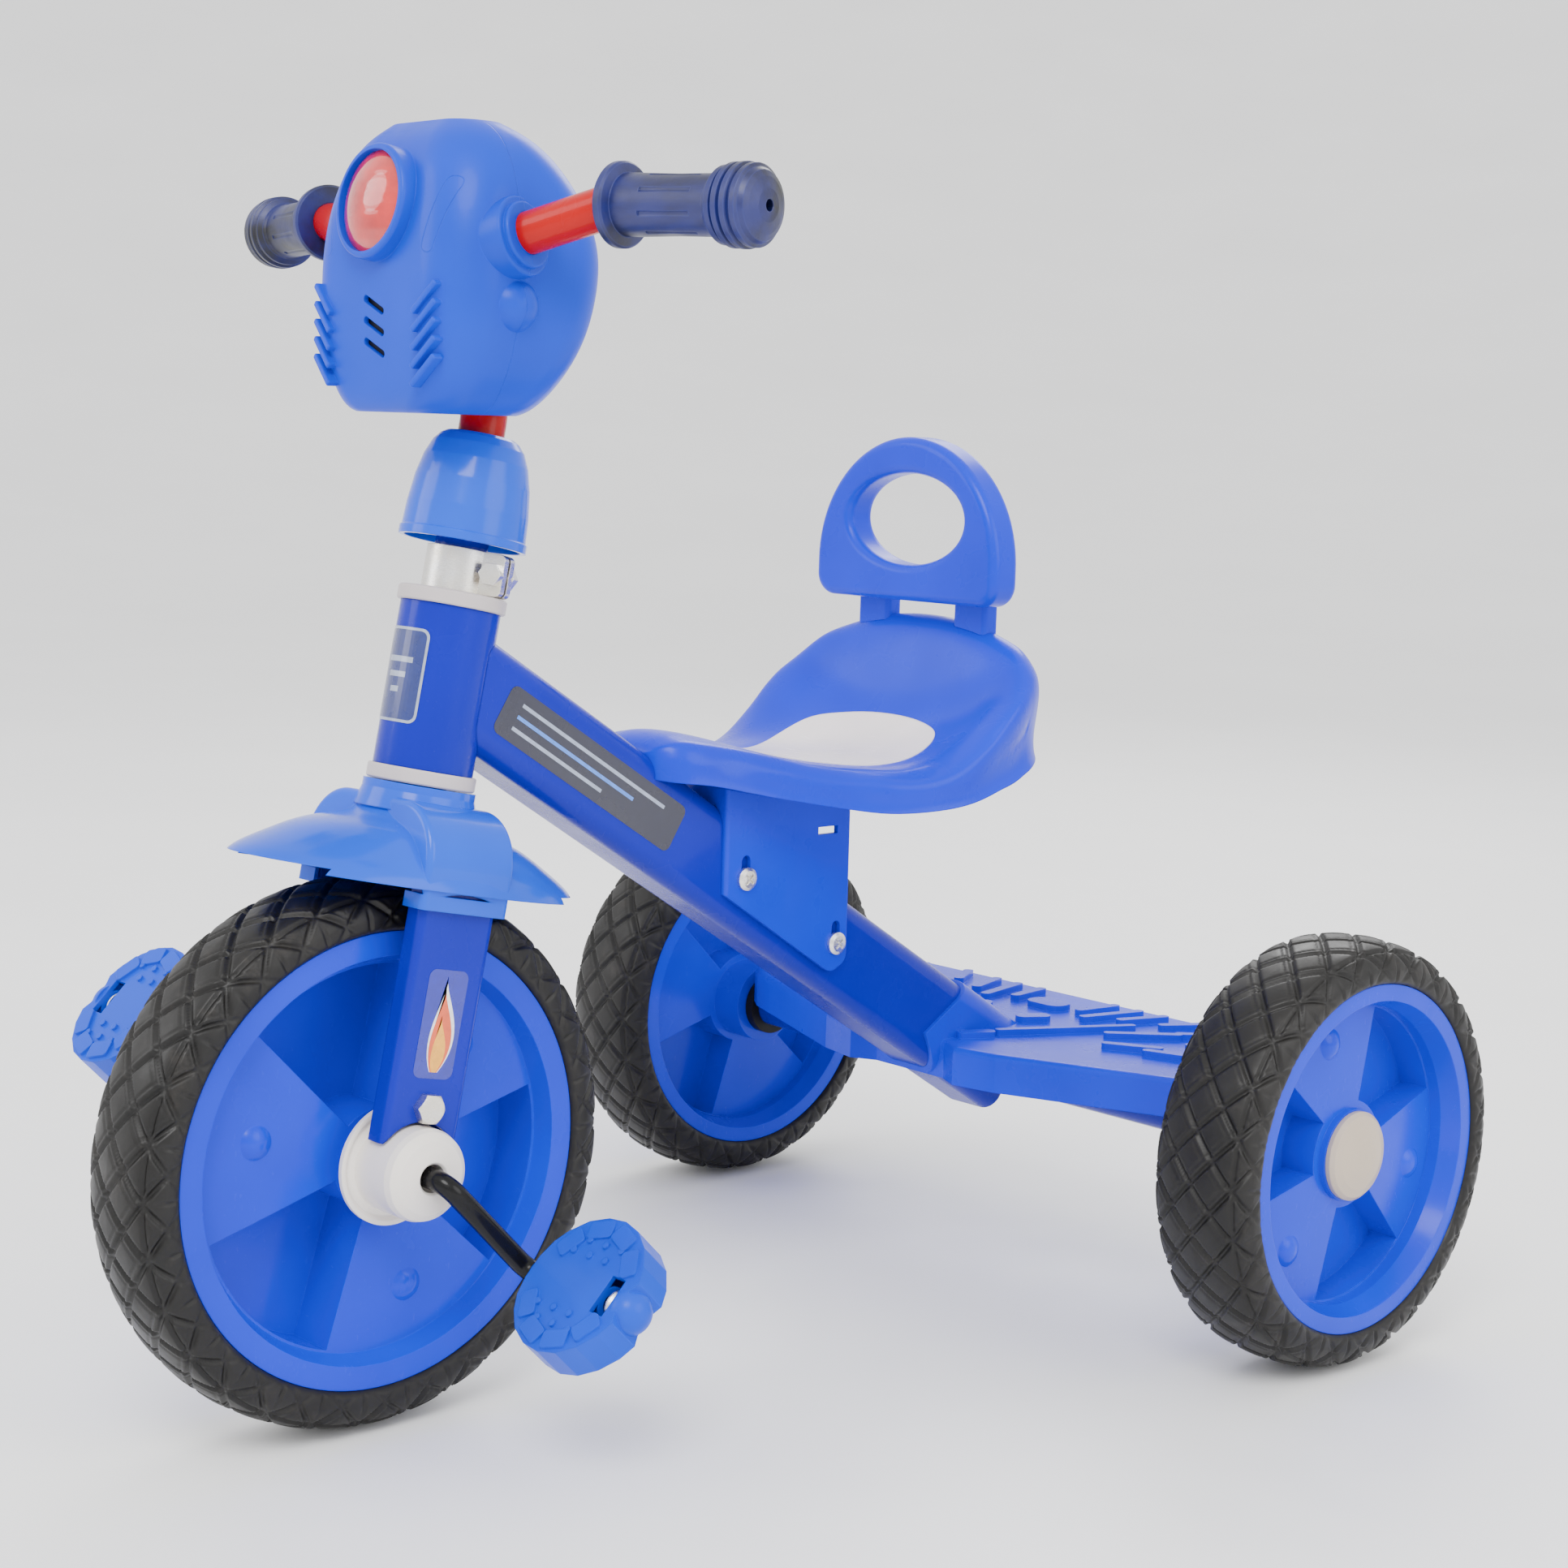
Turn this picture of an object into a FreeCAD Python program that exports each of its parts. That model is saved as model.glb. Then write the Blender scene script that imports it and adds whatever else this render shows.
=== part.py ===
import FreeCAD, Part
import math
import os

V = FreeCAD.Vector
os.makedirs("parts", exist_ok=True)

# ---------------------------------------------------------------- driving dimensions, mm
FRONT_TYRE_R = 130.0
REAR_TYRE_R = 112.0
WHEELBASE = 438.0
LENGTH = FRONT_TYRE_R + WHEELBASE + REAR_TYRE_R
FRONT_Y = FRONT_TYRE_R - LENGTH / 2
REAR_Y = FRONT_Y + WHEELBASE

# front wheel
FRONT_TYRE_HALF = 28.0
FRONT_RIM_R = 107.3
FRONT_RIM_HALF = 24.6
FRONT_BEAD_R = 100.0
FRONT_RING_R = 96.0
FRONT_HUB_R = 20.0
FRONT_HUB_HALF = 26.0
FRONT_LOBE_ANGLE = 14.5
FRONT_WEB_HALF = 15.0

# rear wheels
REAR_WHEEL_X = 231.6
REAR_TYRE_HALF = 30.0
REAR_RIM_R = 90.0
REAR_RIM_HALF = 26.7
REAR_BEAD_R = 84.0
REAR_RING_R = 81.5
REAR_HUB_R = 24.0
REAR_HUB_IN = 197.0
REAR_HUB_OUT = 248.0
REAR_LOBE_ANGLE = 74.0
REAR_WEB_HALF = 10.0

RIM_WALL = 3.0
FLANGE_T = 4.0
RUNNING_GAP = 0.05
WEB_DOME_R = 11.0

# M8 and M6 fasteners: shank radius, width across flats, heads
M8_R = 4.0
M8_FLATS = 13.0
M8_HEAD_H = 5.3
M6_R = 3.0
M6_FLATS = 10.0
M6_PAN_R = 6.0
M6_PAN_H = 3.4

# steering head; S_ values are heights along the steering axis from the front wheel centre
HEAD_TILT = 11.0
HEAD_R = 23.5
HEAD_WALL = 2.0
S_HEAD_LOW = 180.0
S_HEAD_TOP = 257.0
COLLAR_R = 25.5
COLLAR_H = 7.0
COLLAR_SPIGOT = 12.0
COLUMN_R = 12.5
COLUMN_WALL = 1.5
S_COLUMN_TOP = 292.0
BODY_GAP = 0.4

# fork
FORK_OUT_X = 47.5
FORK_T = 11.0
FORK_WALL = 2.0
FORK_W = 42.0
S_FORK_TOP = 164.0
S_FORK_LOW = 12.0
FORK_BEND_R = 24.0
FORK_SADDLE_R = 23.0
S_FORK_BOLT = 29.6

# mudguard: rows of height, half depth fore and aft, and half width of the brim
MUDGUARD_ROWS = [(165.0, 27.02, 27.0), (157.5, 29.52, 29.5), (153.0, 44.0, 35.0),
                 (146.0, 65.0, 43.0), (137.0, 83.0, 49.5), (128.0, 93.0, 53.5)]
MUDGUARD_WALL = 2.0
MUDGUARD_LEG_GAP = 1.5
S_STRAP_LOW = 119.0
NECK_R = 26.5

# hub housings
HUB_FLANGE_R = 28.5
HUB_FLANGE_X = 27.0
HUB_FLANGE_T = 5.0
HUB_DRUM_R = 21.5
HUB_DRUM_END = 62.0
HUB_MOUTH_R = 6.6
HUB_TAB_W = 30.0
HUB_TAB_TOP = 44.0

# crank
CRANK_ROD_R = 5.0
CRANK_THROW = 63.0
CRANK_ANGLE = -47.8
CRANK_AXLE_X = 71.5
CRANK_ARM_X = 78.0
CRANK_END_X = 152.0
CRANK_BEND_R = 9.0

# pedals
PEDAL_IN_X = 90.0
PEDAL_OUT_X = 156.0
PEDAL_WIDTH = 70.0
PEDAL_DEPTH = 19.0
PEDAL_PLATE_T = 2.5
PEDAL_BARREL_R = 8.2
PEDAL_TILT = 45.0

# main tube, a rectangle with rounded corners
TUBE_W = 42.0
TUBE_H = 50.0
TUBE_CORNER = 10.0
TUBE_WALL = 2.0
TUBE_SLOPE = 31.7
TUBE_REF_Y = 34.9
TUBE_REF_Z = 225.7

# rear axle
AXLE_TUBE_R = 12.5
AXLE_TUBE_HALF = 190.0
AXLE_ROD_R = 5.0
AXLE_ROD_HALF = 246.0
BUSH_R = 18.0
BUSH_T = 6.0

# step board
BOARD_TOP = 139.0
BOARD_LOW = 118.0
BOARD_HALF = 186.0
BOARD_WALL = 2.5
BOARD_BACK_Y = 313.0

# seat
SEAT_WALL = 3.0
SEAT_INLAY_T = 1.4
PEDESTAL_T = 3.0
PEDESTAL_FRONT_Y = -6.0
PEDESTAL_BACK_Y = 80.0
SEAT_SCREW_Y = (8.0, 72.9)

# backrest
BACKREST_Y = 146.0
BACKREST_T = 20.0
BACKREST_R = 68.0
BACKREST_CENTRE_Z = 400.0
BACKREST_LOW_Z = 380.0
BACKREST_HOLE_Z = 424.0
HANDHOLD_HALF_W = 42.5
HANDHOLD_HALF_H = 24.5
POST_X = 36.5
POST_Y = 157.0
POST_W = 24.0
POST_T = 11.0
POST_LOW_Z = 335.0

# handlebar
BAR_R = 9.5
STEM_R = 11.0
BAR_WALL = 1.5
S_BELL_LOW = 287.0
CLAMP_R = 15.6
CLAMP_H = 20.0
CLAMP_BOLT_Y = 21.0
CLAMP_TURN = 62.0
BAR_MID = (-174.6, 546.5)
BAR_MID_HALF = 48.0
GRIP_IN = (113.3, -155.7, 562.6)
GRIP_END = (181.3, -142.0, 560.9)

# head housing
HOUSING_SEAM_Y = -170.0
HOUSING_WALL = 2.5

# stickers: lengths, heights and centre positions
STICKER_T = 0.2
STICKER_HEAD_S = (199.0, 245.0)
STICKER_TUBE = (128.0, 25.0, -91.0)
STICKER_LEG = (50.0, 22.0, 68.0)


# ---------------------------------------------------------------- small helpers
def export(shape, node):
    shape.exportStep("parts/" + node + ".step")


def rotated(shape, axis, angle, base=V(0, 0, 0)):
    copy = shape.copy()
    copy.rotate(base, axis, angle)
    return copy


def moved(shape, x, y, z):
    copy = shape.copy()
    copy.translate(V(x, y, z))
    return copy


def mirrored_x(shape):
    return shape.mirror(V(0, 0, 0), V(1, 0, 0))


def to_steering(shape):
    """Place a shape drawn about a vertical axis onto the tilted steering axis."""
    tilted = rotated(shape, V(1, 0, 0), -HEAD_TILT)
    return moved(tilted, 0, FRONT_Y, FRONT_TYRE_R)


def x_cylinder(radius, x0, x1, y=0.0, z=0.0):
    return Part.makeCylinder(radius, x1 - x0, V(x0, y, z), V(1, 0, 0))


def polygon_face(points):
    return Part.Face(Part.makePolygon(points + [points[0]]))


def revolved_x(points):
    """Solid of revolution about the X axis from (x, radius) points."""
    face = polygon_face([V(x, 0, r) for x, r in points])
    return face.revolve(V(0, 0, 0), V(1, 0, 0), 360)


def revolved_z(points):
    """Solid of revolution about the Z axis from (radius, z) points."""
    face = polygon_face([V(r, 0, z) for r, z in points])
    return face.revolve(V(0, 0, 0), V(0, 0, 1), 360)


def rounded_rectangle(width, height, radius):
    """Wire in the XY plane, centred on the origin."""
    a = width / 2
    b = height / 2
    c = math.sqrt(0.5) * radius
    edges = []
    corners = [(a - radius, b - radius, 1, 1), (radius - a, b - radius, -1, 1),
               (radius - a, radius - b, -1, -1), (a - radius, radius - b, 1, -1)]
    starts = []
    for index, (cx, cy, sx, sy) in enumerate(corners):
        first = V(cx + sx * radius, cy, 0)
        last = V(cx, cy + sy * radius, 0)
        if index % 2:
            first, last = last, first
        middle = V(cx + sx * c, cy + sy * c, 0)
        starts.append((first, last))
        edges.append(Part.Arc(first, middle, last).toShape())
    joined = []
    for index in range(4):
        joined.append(edges[index])
        joined.append(Part.makeLine(starts[index][1], starts[(index + 1) % 4][0]))
    return Part.Wire(joined)


def bent_path(points, radius):
    """Wire through points with every inner corner rounded."""
    edges = []
    start = points[0]
    for before, corner, after in zip(points, points[1:], points[2:]):
        into = (corner - before).normalize()
        out = (after - corner).normalize()
        turn = into.getAngle(out)
        if turn < 0.001:
            continue
        cut = radius * math.tan(turn / 2)
        first = corner - into * cut
        last = corner + out * cut
        inward = (out - into).normalize()
        middle = corner + inward * (radius / math.cos(turn / 2) - radius)
        edges.append(Part.makeLine(start, first))
        edges.append(Part.Arc(first, middle, last).toShape())
        start = last
    edges.append(Part.makeLine(start, points[-1]))
    return Part.Wire(edges)


def swept_rod(points, bend_radius, radius):
    path = bent_path(points, bend_radius)
    circle = Part.makeCircle(radius, points[0], points[1] - points[0])
    return path.makePipeShell([Part.Wire(circle)], True, True)


def sector(angle, half_angle, r_in, r_out, x0, x1):
    """Block between two radii about the X axis; angle 0 points to -Y and 90 to +Z."""
    outer = x_cylinder(r_out, x0, x1)
    inner = x_cylinder(r_in, x0 - 1, x1 + 1)
    reach = 2 * r_out
    wedge = [V(x0 - 1, 0, 0)]
    for step in (-1.0, -0.5, 0.0, 0.5, 1.0):
        a = math.radians(angle + step * half_angle)
        wedge.append(V(x0 - 1, -reach * math.cos(a), reach * math.sin(a)))
    prism = polygon_face(wedge).extrude(V(x1 - x0 + 2, 0, 0))
    return outer.cut(inner).common(prism)


def interpolate(table, key, column):
    """Smooth value of one column of a table of rows keyed by the first column."""
    if key <= table[0][0]:
        return table[0][column]
    if key >= table[-1][0]:
        return table[-1][column]
    count = len(table)
    slot = 0
    while table[slot + 1][0] < key:
        slot += 1

    def slope(index):
        low = max(index - 1, 0)
        high = min(index + 1, count - 1)
        return (table[high][column] - table[low][column]) / (table[high][0] - table[low][0])

    step = table[slot + 1][0] - table[slot][0]
    t = (key - table[slot][0]) / step
    a = table[slot][column]
    b = table[slot + 1][column]
    ease = t * t * (3 - 2 * t)
    early = step * slope(slot) * t * (1 - t) ** 2
    late = step * slope(slot + 1) * t * t * (1 - t)
    return a + (b - a) * ease + early - late


# ---------------------------------------------------------------- wheels
def tyre(r_out, half, r_bead, r_rim, rim_half):
    inner = rim_half - FLANGE_T
    side = r_rim + 4.0
    profile = [(-inner, r_bead), (-inner, r_rim), (-rim_half - 0.4, r_rim + 0.4)]
    crown = [(1.0, side), (1.0, side + 3), (0.94, r_out - 9), (0.80, r_out - 4.6),
             (0.60, r_out - 2.2), (0.36, r_out - 0.7), (0.12, r_out)]
    profile += [(-half * k, r) for k, r in crown]
    profile += [(half * k, r) for k, r in reversed(crown)]
    profile += [(rim_half + 0.4, r_rim + 0.4), (inner, r_rim), (inner, r_bead)]
    return revolved_x(profile)


def rim(r_rim, rim_half, r_bead, r_ring, hub_r, hub_in, hub_out, web, bore, lobe_angle):
    """Rim with a web whose six sectors stand alternately towards one side and the other."""
    inner = rim_half - FLANGE_T
    barrel = revolved_x([(-rim_half, r_ring), (-rim_half, r_rim), (-inner, r_rim),
                         (-inner, r_bead), (inner, r_bead), (inner, r_rim),
                         (rim_half, r_rim), (rim_half, r_ring),
                         (inner - 6, r_ring - 4), (6 - inner, r_ring - 4)])
    plate = revolved_x([(-web - RIM_WALL, hub_r - 2), (-web, r_ring - 1),
                        (web, r_ring - 1), (web + RIM_WALL, hub_r - 2)])
    wall_angle = math.degrees(RIM_WALL / (r_ring * 0.55))
    for index in range(3):
        front = lobe_angle + 60 + index * 120
        back = lobe_angle + index * 120
        reach = web + RIM_WALL + 2
        r0 = hub_r + 4
        r1 = r_ring - 5
        plate = plate.cut(sector(front, 30 - wall_angle / 2, r0, r1, RIM_WALL - web, reach))
        plate = plate.cut(sector(back, 30 - wall_angle / 2, r0, r1, -reach, web - RIM_WALL))
    hub = x_cylinder(hub_r, hub_in, hub_out)
    body = barrel.fuse([plate, hub])
    dome_r = (hub_r + r_ring) / 2 + 8
    for index in range(3):
        angle = math.radians(lobe_angle + index * 120)
        centre = V(web - 6.5, -dome_r * math.cos(angle), dome_r * math.sin(angle))
        ball = Part.makeSphere(WEB_DOME_R, centre)
        keep = x_cylinder(r_ring - 6, web - 1, web + 8)
        body = body.fuse(ball.common(keep))
    body = body.cut(x_cylinder(bore, hub_in - 1, hub_out + 1))
    return body.removeSplitter()


def front_wheel_parts():
    place = (0, FRONT_Y, FRONT_TYRE_R)
    front_tyre = tyre(FRONT_TYRE_R, FRONT_TYRE_HALF, FRONT_BEAD_R, FRONT_RIM_R, FRONT_RIM_HALF)
    front_rim = rim(FRONT_RIM_R, FRONT_RIM_HALF, FRONT_BEAD_R, FRONT_RING_R, FRONT_HUB_R,
                    -FRONT_HUB_HALF, FRONT_HUB_HALF, FRONT_WEB_HALF, CRANK_ROD_R, FRONT_LOBE_ANGLE)
    export(moved(front_tyre, *place), "front_tyre")
    export(moved(front_rim, *place), "front_rim")


def crank_offset():
    angle = math.radians(CRANK_ANGLE)
    return CRANK_THROW * math.cos(angle), CRANK_THROW * math.sin(angle)


def crank_part():
    dy, dz = crank_offset()
    points = [V(CRANK_END_X, dy, dz), V(CRANK_ARM_X, dy, dz), V(CRANK_AXLE_X, 0, 0),
              V(-CRANK_AXLE_X, 0, 0), V(-CRANK_ARM_X, -dy, -dz), V(-CRANK_END_X, -dy, -dz)]
    rod = swept_rod(points, CRANK_BEND_R, CRANK_ROD_R)
    export(moved(rod, 0, FRONT_Y, FRONT_TYRE_R), "crank_axle")


def rear_wheel_parts():
    rear_tyre = tyre(REAR_TYRE_R, REAR_TYRE_HALF, REAR_BEAD_R, REAR_RIM_R, REAR_RIM_HALF)
    rear_rim = rim(REAR_RIM_R, REAR_RIM_HALF, REAR_BEAD_R, REAR_RING_R, REAR_HUB_R,
                   REAR_HUB_IN - REAR_WHEEL_X, REAR_HUB_OUT - REAR_WHEEL_X, REAR_WEB_HALF,
                   AXLE_ROD_R + RUNNING_GAP, REAR_LOBE_ANGLE)
    pocket = x_cylinder(REAR_HUB_R - 4, 238 - REAR_WHEEL_X, REAR_HUB_OUT + 1 - REAR_WHEEL_X)
    rear_rim = rear_rim.cut(pocket)
    cap = revolved_x([(240, REAR_HUB_R - 6), (240, REAR_HUB_R - 4), (248, REAR_HUB_R - 4),
                      (248, 23), (250.5, 23), (252.4, 21), (254, 16.5), (255.2, 10), (255.7, 0),
                      (253.4, 0), (252.4, 12), (250, REAR_HUB_R - 6)])
    nut = revolved_x([(238.6, AXLE_ROD_R), (238.6, 9), (240.2, 9), (243, 7), (245, 6.4), (245, AXLE_ROD_R)])
    tyre_at = moved(rear_tyre, REAR_WHEEL_X, REAR_Y, REAR_TYRE_R)
    rim_at = moved(rear_rim, REAR_WHEEL_X, REAR_Y, REAR_TYRE_R)
    cap_at = moved(cap, 0, REAR_Y, REAR_TYRE_R)
    nut_at = moved(nut, 0, REAR_Y, REAR_TYRE_R)
    for shape, name in ((tyre_at, "rear_tyre"), (rim_at, "rear_rim"), (cap_at, "hub_cap")):
        export(shape, name + "_left")
        export(mirrored_x(shape), name + "_right")
    export(Part.makeCompound([nut_at, mirrored_x(nut_at)]), "axle_push_nuts")


# ---------------------------------------------------------------- frame
def axis_z(y):
    """Height of the main tube's centre line above a given y."""
    return TUBE_REF_Z - math.tan(math.radians(TUBE_SLOPE)) * (y - TUBE_REF_Y)


def tube_prism(width, height, corner, y0, y1):
    """Prism along the sloping main tube line between two y values."""
    face = Part.Face(rounded_rectangle(width, height, corner))
    start = V(0, y0, axis_z(y0))
    end = V(0, y1, axis_z(y1))
    face.rotate(V(0, 0, 0), V(1, 0, 0), -90 - TUBE_SLOPE)
    face.translate(start)
    return face.extrude(end - start)


def head_tube_solid():
    height = S_HEAD_TOP - S_HEAD_LOW
    return to_steering(Part.makeCylinder(HEAD_R, height, V(0, 0, S_HEAD_LOW)))


def axle_tube_solid(radius, half):
    return x_cylinder(radius, -half, half, REAR_Y, REAR_TYRE_R)


def frame_parts():
    bore = to_steering(Part.makeCylinder(HEAD_R - HEAD_WALL, 200, V(0, 0, S_HEAD_LOW - 20)))
    head = head_tube_solid()
    export(head.cut(bore), "head_tube")

    end_y = REAR_Y - 10.0
    outer = tube_prism(TUBE_W, TUBE_H, TUBE_CORNER, -175.0, end_y)
    inner = tube_prism(TUBE_W - 2 * TUBE_WALL, TUBE_H - 2 * TUBE_WALL, TUBE_CORNER - TUBE_WALL,
                       -190.0, end_y + 20)
    tube = outer.cut(inner).cut(head).cut(bore)
    tube = tube.cut(axle_tube_solid(AXLE_TUBE_R, AXLE_TUBE_HALF))
    for y in SEAT_SCREW_Y:
        tube = tube.cut(x_cylinder(M6_R, -60, 60, y, axis_z(y)))
    tube = max(tube.Solids, key=lambda solid: solid.Volume)
    export(tube, "main_tube")

    axle_tube = axle_tube_solid(AXLE_TUBE_R, AXLE_TUBE_HALF)
    axle_tube = axle_tube.cut(axle_tube_solid(AXLE_TUBE_R - 2, AXLE_TUBE_HALF + 1))
    export(axle_tube, "rear_axle_tube")
    rod = axle_tube_solid(AXLE_ROD_R, AXLE_ROD_HALF)
    export(rod.makeChamfer(1.0, [e for e in rod.Edges if e.Closed]), "rear_axle_rod")
    bush = revolved_x([(AXLE_TUBE_HALF - 20, AXLE_ROD_R), (AXLE_TUBE_HALF - 20, AXLE_TUBE_R - 2),
                       (AXLE_TUBE_HALF, AXLE_TUBE_R - 2), (AXLE_TUBE_HALF, BUSH_R),
                       (AXLE_TUBE_HALF + BUSH_T, BUSH_R), (AXLE_TUBE_HALF + BUSH_T, AXLE_ROD_R)])
    bush = moved(bush, 0, REAR_Y, REAR_TYRE_R)
    export(bush, "axle_bush_left")
    export(mirrored_x(bush), "axle_bush_right")


def headset_parts():
    bore = COLUMN_R + RUNNING_GAP
    spigot = HEAD_R - HEAD_WALL
    lower = revolved_z([(bore, S_HEAD_LOW - COLLAR_H), (COLLAR_R - 0.8, S_HEAD_LOW - COLLAR_H),
                        (COLLAR_R, S_HEAD_LOW - COLLAR_H + 0.8), (COLLAR_R, S_HEAD_LOW - 0.6),
                        (COLLAR_R - 0.6, S_HEAD_LOW), (spigot, S_HEAD_LOW),
                        (spigot, S_HEAD_LOW + COLLAR_SPIGOT), (bore, S_HEAD_LOW + COLLAR_SPIGOT)])
    upper = revolved_z([(bore, S_HEAD_TOP + COLLAR_H), (COLLAR_R - 0.8, S_HEAD_TOP + COLLAR_H),
                        (COLLAR_R, S_HEAD_TOP + COLLAR_H - 0.8), (COLLAR_R, S_HEAD_TOP + 0.6),
                        (COLLAR_R - 0.6, S_HEAD_TOP), (spigot, S_HEAD_TOP),
                        (spigot, S_HEAD_TOP - COLLAR_SPIGOT), (bore, S_HEAD_TOP - COLLAR_SPIGOT)])
    export(to_steering(lower), "headset_collar_lower")
    export(to_steering(upper), "headset_collar_upper")


# ---------------------------------------------------------------- seat
# y, half width, rim height, centre height, skirt edge height
SEAT_STATIONS = [
    (-53.0, 14.0, 308.0, 309.5, 297.0), (-49.0, 24.0, 311.0, 315.0, 296.0),
    (-40.0, 31.0, 313.0, 318.0, 295.0), (-24.0, 35.5, 311.0, 317.0, 293.0),
    (-5.0, 41.0, 308.0, 312.5, 289.0), (15.0, 51.0, 304.0, 307.0, 285.0),
    (38.0, 67.0, 300.0, 302.0, 281.0), (62.0, 81.0, 299.5, 299.0, 279.0),
    (85.0, 89.0, 303.0, 299.0, 280.5), (105.0, 92.0, 315.0, 303.0, 284.0),
    (122.0, 92.0, 331.0, 311.0, 289.0), (133.0, 91.0, 341.0, 322.0, 292.0),
    (140.0, 89.5, 346.0, 338.0, 294.5), (145.0, 88.0, 349.0, 355.0, 296.0),
    (150.0, 86.0, 351.0, 367.0, 297.5), (156.0, 82.5, 352.0, 372.0, 299.0),
    (163.0, 77.0, 351.0, 370.5, 301.0), (170.0, 69.0, 348.0, 364.0, 302.5),
    (175.0, 60.0, 344.0, 355.0, 303.5), (179.0, 48.0, 338.0, 344.0, 304.5),
    (181.0, 38.0, 333.0, 335.0, 305.0)]
SEAT_SHOULDER = 0.84
SEAT_SHOULDER_DROP = 6.0
SEAT_FLARE = 1.6
SEAT_TAIL_Y = 145.0


def seat_top(x, y):
    half = interpolate(SEAT_STATIONS, y, 1)
    rim_z = interpolate(SEAT_STATIONS, y, 2)
    centre_z = interpolate(SEAT_STATIONS, y, 3)
    t = min(abs(x) / half, 1.0)
    height = centre_z + (rim_z - centre_z) * t ** 2.2
    if t > SEAT_SHOULDER:
        height -= SEAT_SHOULDER_DROP * ((t - SEAT_SHOULDER) / (1 - SEAT_SHOULDER)) ** 2
    return height


def seat_under(x, y, wall):
    """Underside height, found so that steep walls keep their thickness."""
    reach = [(0, 0), (0, wall), (0, -wall), (wall, 0), (-wall, 0)]
    return min(seat_top(x + dx, y + dy) for dx, dy in reach) - wall * 0.8


def seat_section(y, half, low, height_at):
    """Closed section: one smooth curve over the top and a straight line below."""
    points = [V(-half - SEAT_FLARE, y, low)]
    edge = height_at(half, y)
    points.append(V(-half - SEAT_FLARE / 2, y, (low + edge) / 2))
    fractions = (-1.0, -0.95, -0.86, -0.7, -0.5, -0.25, 0.0, 0.25, 0.5, 0.7, 0.86, 0.95, 1.0)
    for k in fractions:
        points.append(V(half * k, y, height_at(half * abs(k), y)))
    points.append(V(half + SEAT_FLARE / 2, y, (low + edge) / 2))
    points.append(V(half + SEAT_FLARE, y, low))
    curve = Part.BSplineCurve()
    curve.interpolate(points)
    return Part.Wire([curve.toShape(), Part.makeLine(points[-1], points[0])])


def seat_outer(lift=0.0):
    wires = []
    for y, half, rim_z, centre_z, low in SEAT_STATIONS:
        wires.append(seat_section(y, half, low, lambda x, at: seat_top(x, at) + lift))
    return Part.makeLoft(wires, True, False)


def seat_cavity():
    wires = []
    for y, half, rim_z, centre_z, low in SEAT_STATIONS[1:-3]:
        at = max(y, SEAT_STATIONS[1][0] + 1.0)
        tail = max(0.0, at - SEAT_TAIL_Y) * 0.25
        inner_half = half - SEAT_WALL - SEAT_FLARE - tail
        wires.append(seat_section(at, inner_half, low - 30,
                                  lambda x, where: seat_under(x, where, SEAT_WALL)))
    return Part.makeLoft(wires, True, False)


def inlay_prism():
    """Teardrop outline of the seat inlay."""
    half = [(2.0, 2.0), (10.0, 8.0), (30.0, 21.0), (60.0, 39.0), (85.0, 50.0), (103.0, 53.0),
            (116.0, 49.0), (124.0, 38.0), (129.0, 21.0)]
    right = [V(x, y, 250) for y, x in half]
    left = [V(-x, y, 250) for y, x in reversed(half)]
    curve = Part.BSplineCurve()
    curve.interpolate([V(0, -2.0, 250)] + right + [V(0, 130.5, 250)] + left, PeriodicFlag=True)
    return Part.Face(Part.Wire(curve.toShape())).extrude(V(0, 0, 150))


def post_solid(side, low):
    base = Part.Face(rounded_rectangle(POST_W, POST_T, 3.0))
    base.translate(V(side * POST_X, POST_Y, low))
    return base.extrude(V(0, 0, BACKREST_LOW_Z + 6 - low))


def backrest_solid():
    r = BACKREST_R
    low = BACKREST_LOW_Z
    mid = BACKREST_CENTRE_Z
    y = BACKREST_Y - BACKREST_T / 2
    edges = [Part.Arc(V(r, y, mid), V(0, y, mid + r), V(-r, y, mid)).toShape(),
             Part.makeLine(V(-r, y, mid), V(-r, y, low)),
             Part.makeLine(V(-r, y, low), V(r, y, low)),
             Part.makeLine(V(r, y, low), V(r, y, mid))]
    body = Part.Face(Part.Wire(edges)).extrude(V(0, BACKREST_T, 0))
    corners = [e for e in body.Edges
               if abs(e.Length - BACKREST_T) < 0.01 and e.BoundBox.ZMax < low + 1]
    body = body.makeFillet(12.0, corners)
    ellipse = Part.Ellipse(V(0, 0, 0), HANDHOLD_HALF_W, HANDHOLD_HALF_H)
    hole = Part.Face(Part.Wire(ellipse.toShape()))
    hole.rotate(V(0, 0, 0), V(1, 0, 0), 90)
    hole.translate(V(0, y + BACKREST_T + 5, BACKREST_HOLE_Z))
    body = body.cut(hole.extrude(V(0, -BACKREST_T - 10, 0)))
    flat = [e for e in body.Edges if e.BoundBox.YLength < 0.01]
    return body.makeFillet(5.0, flat)


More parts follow.
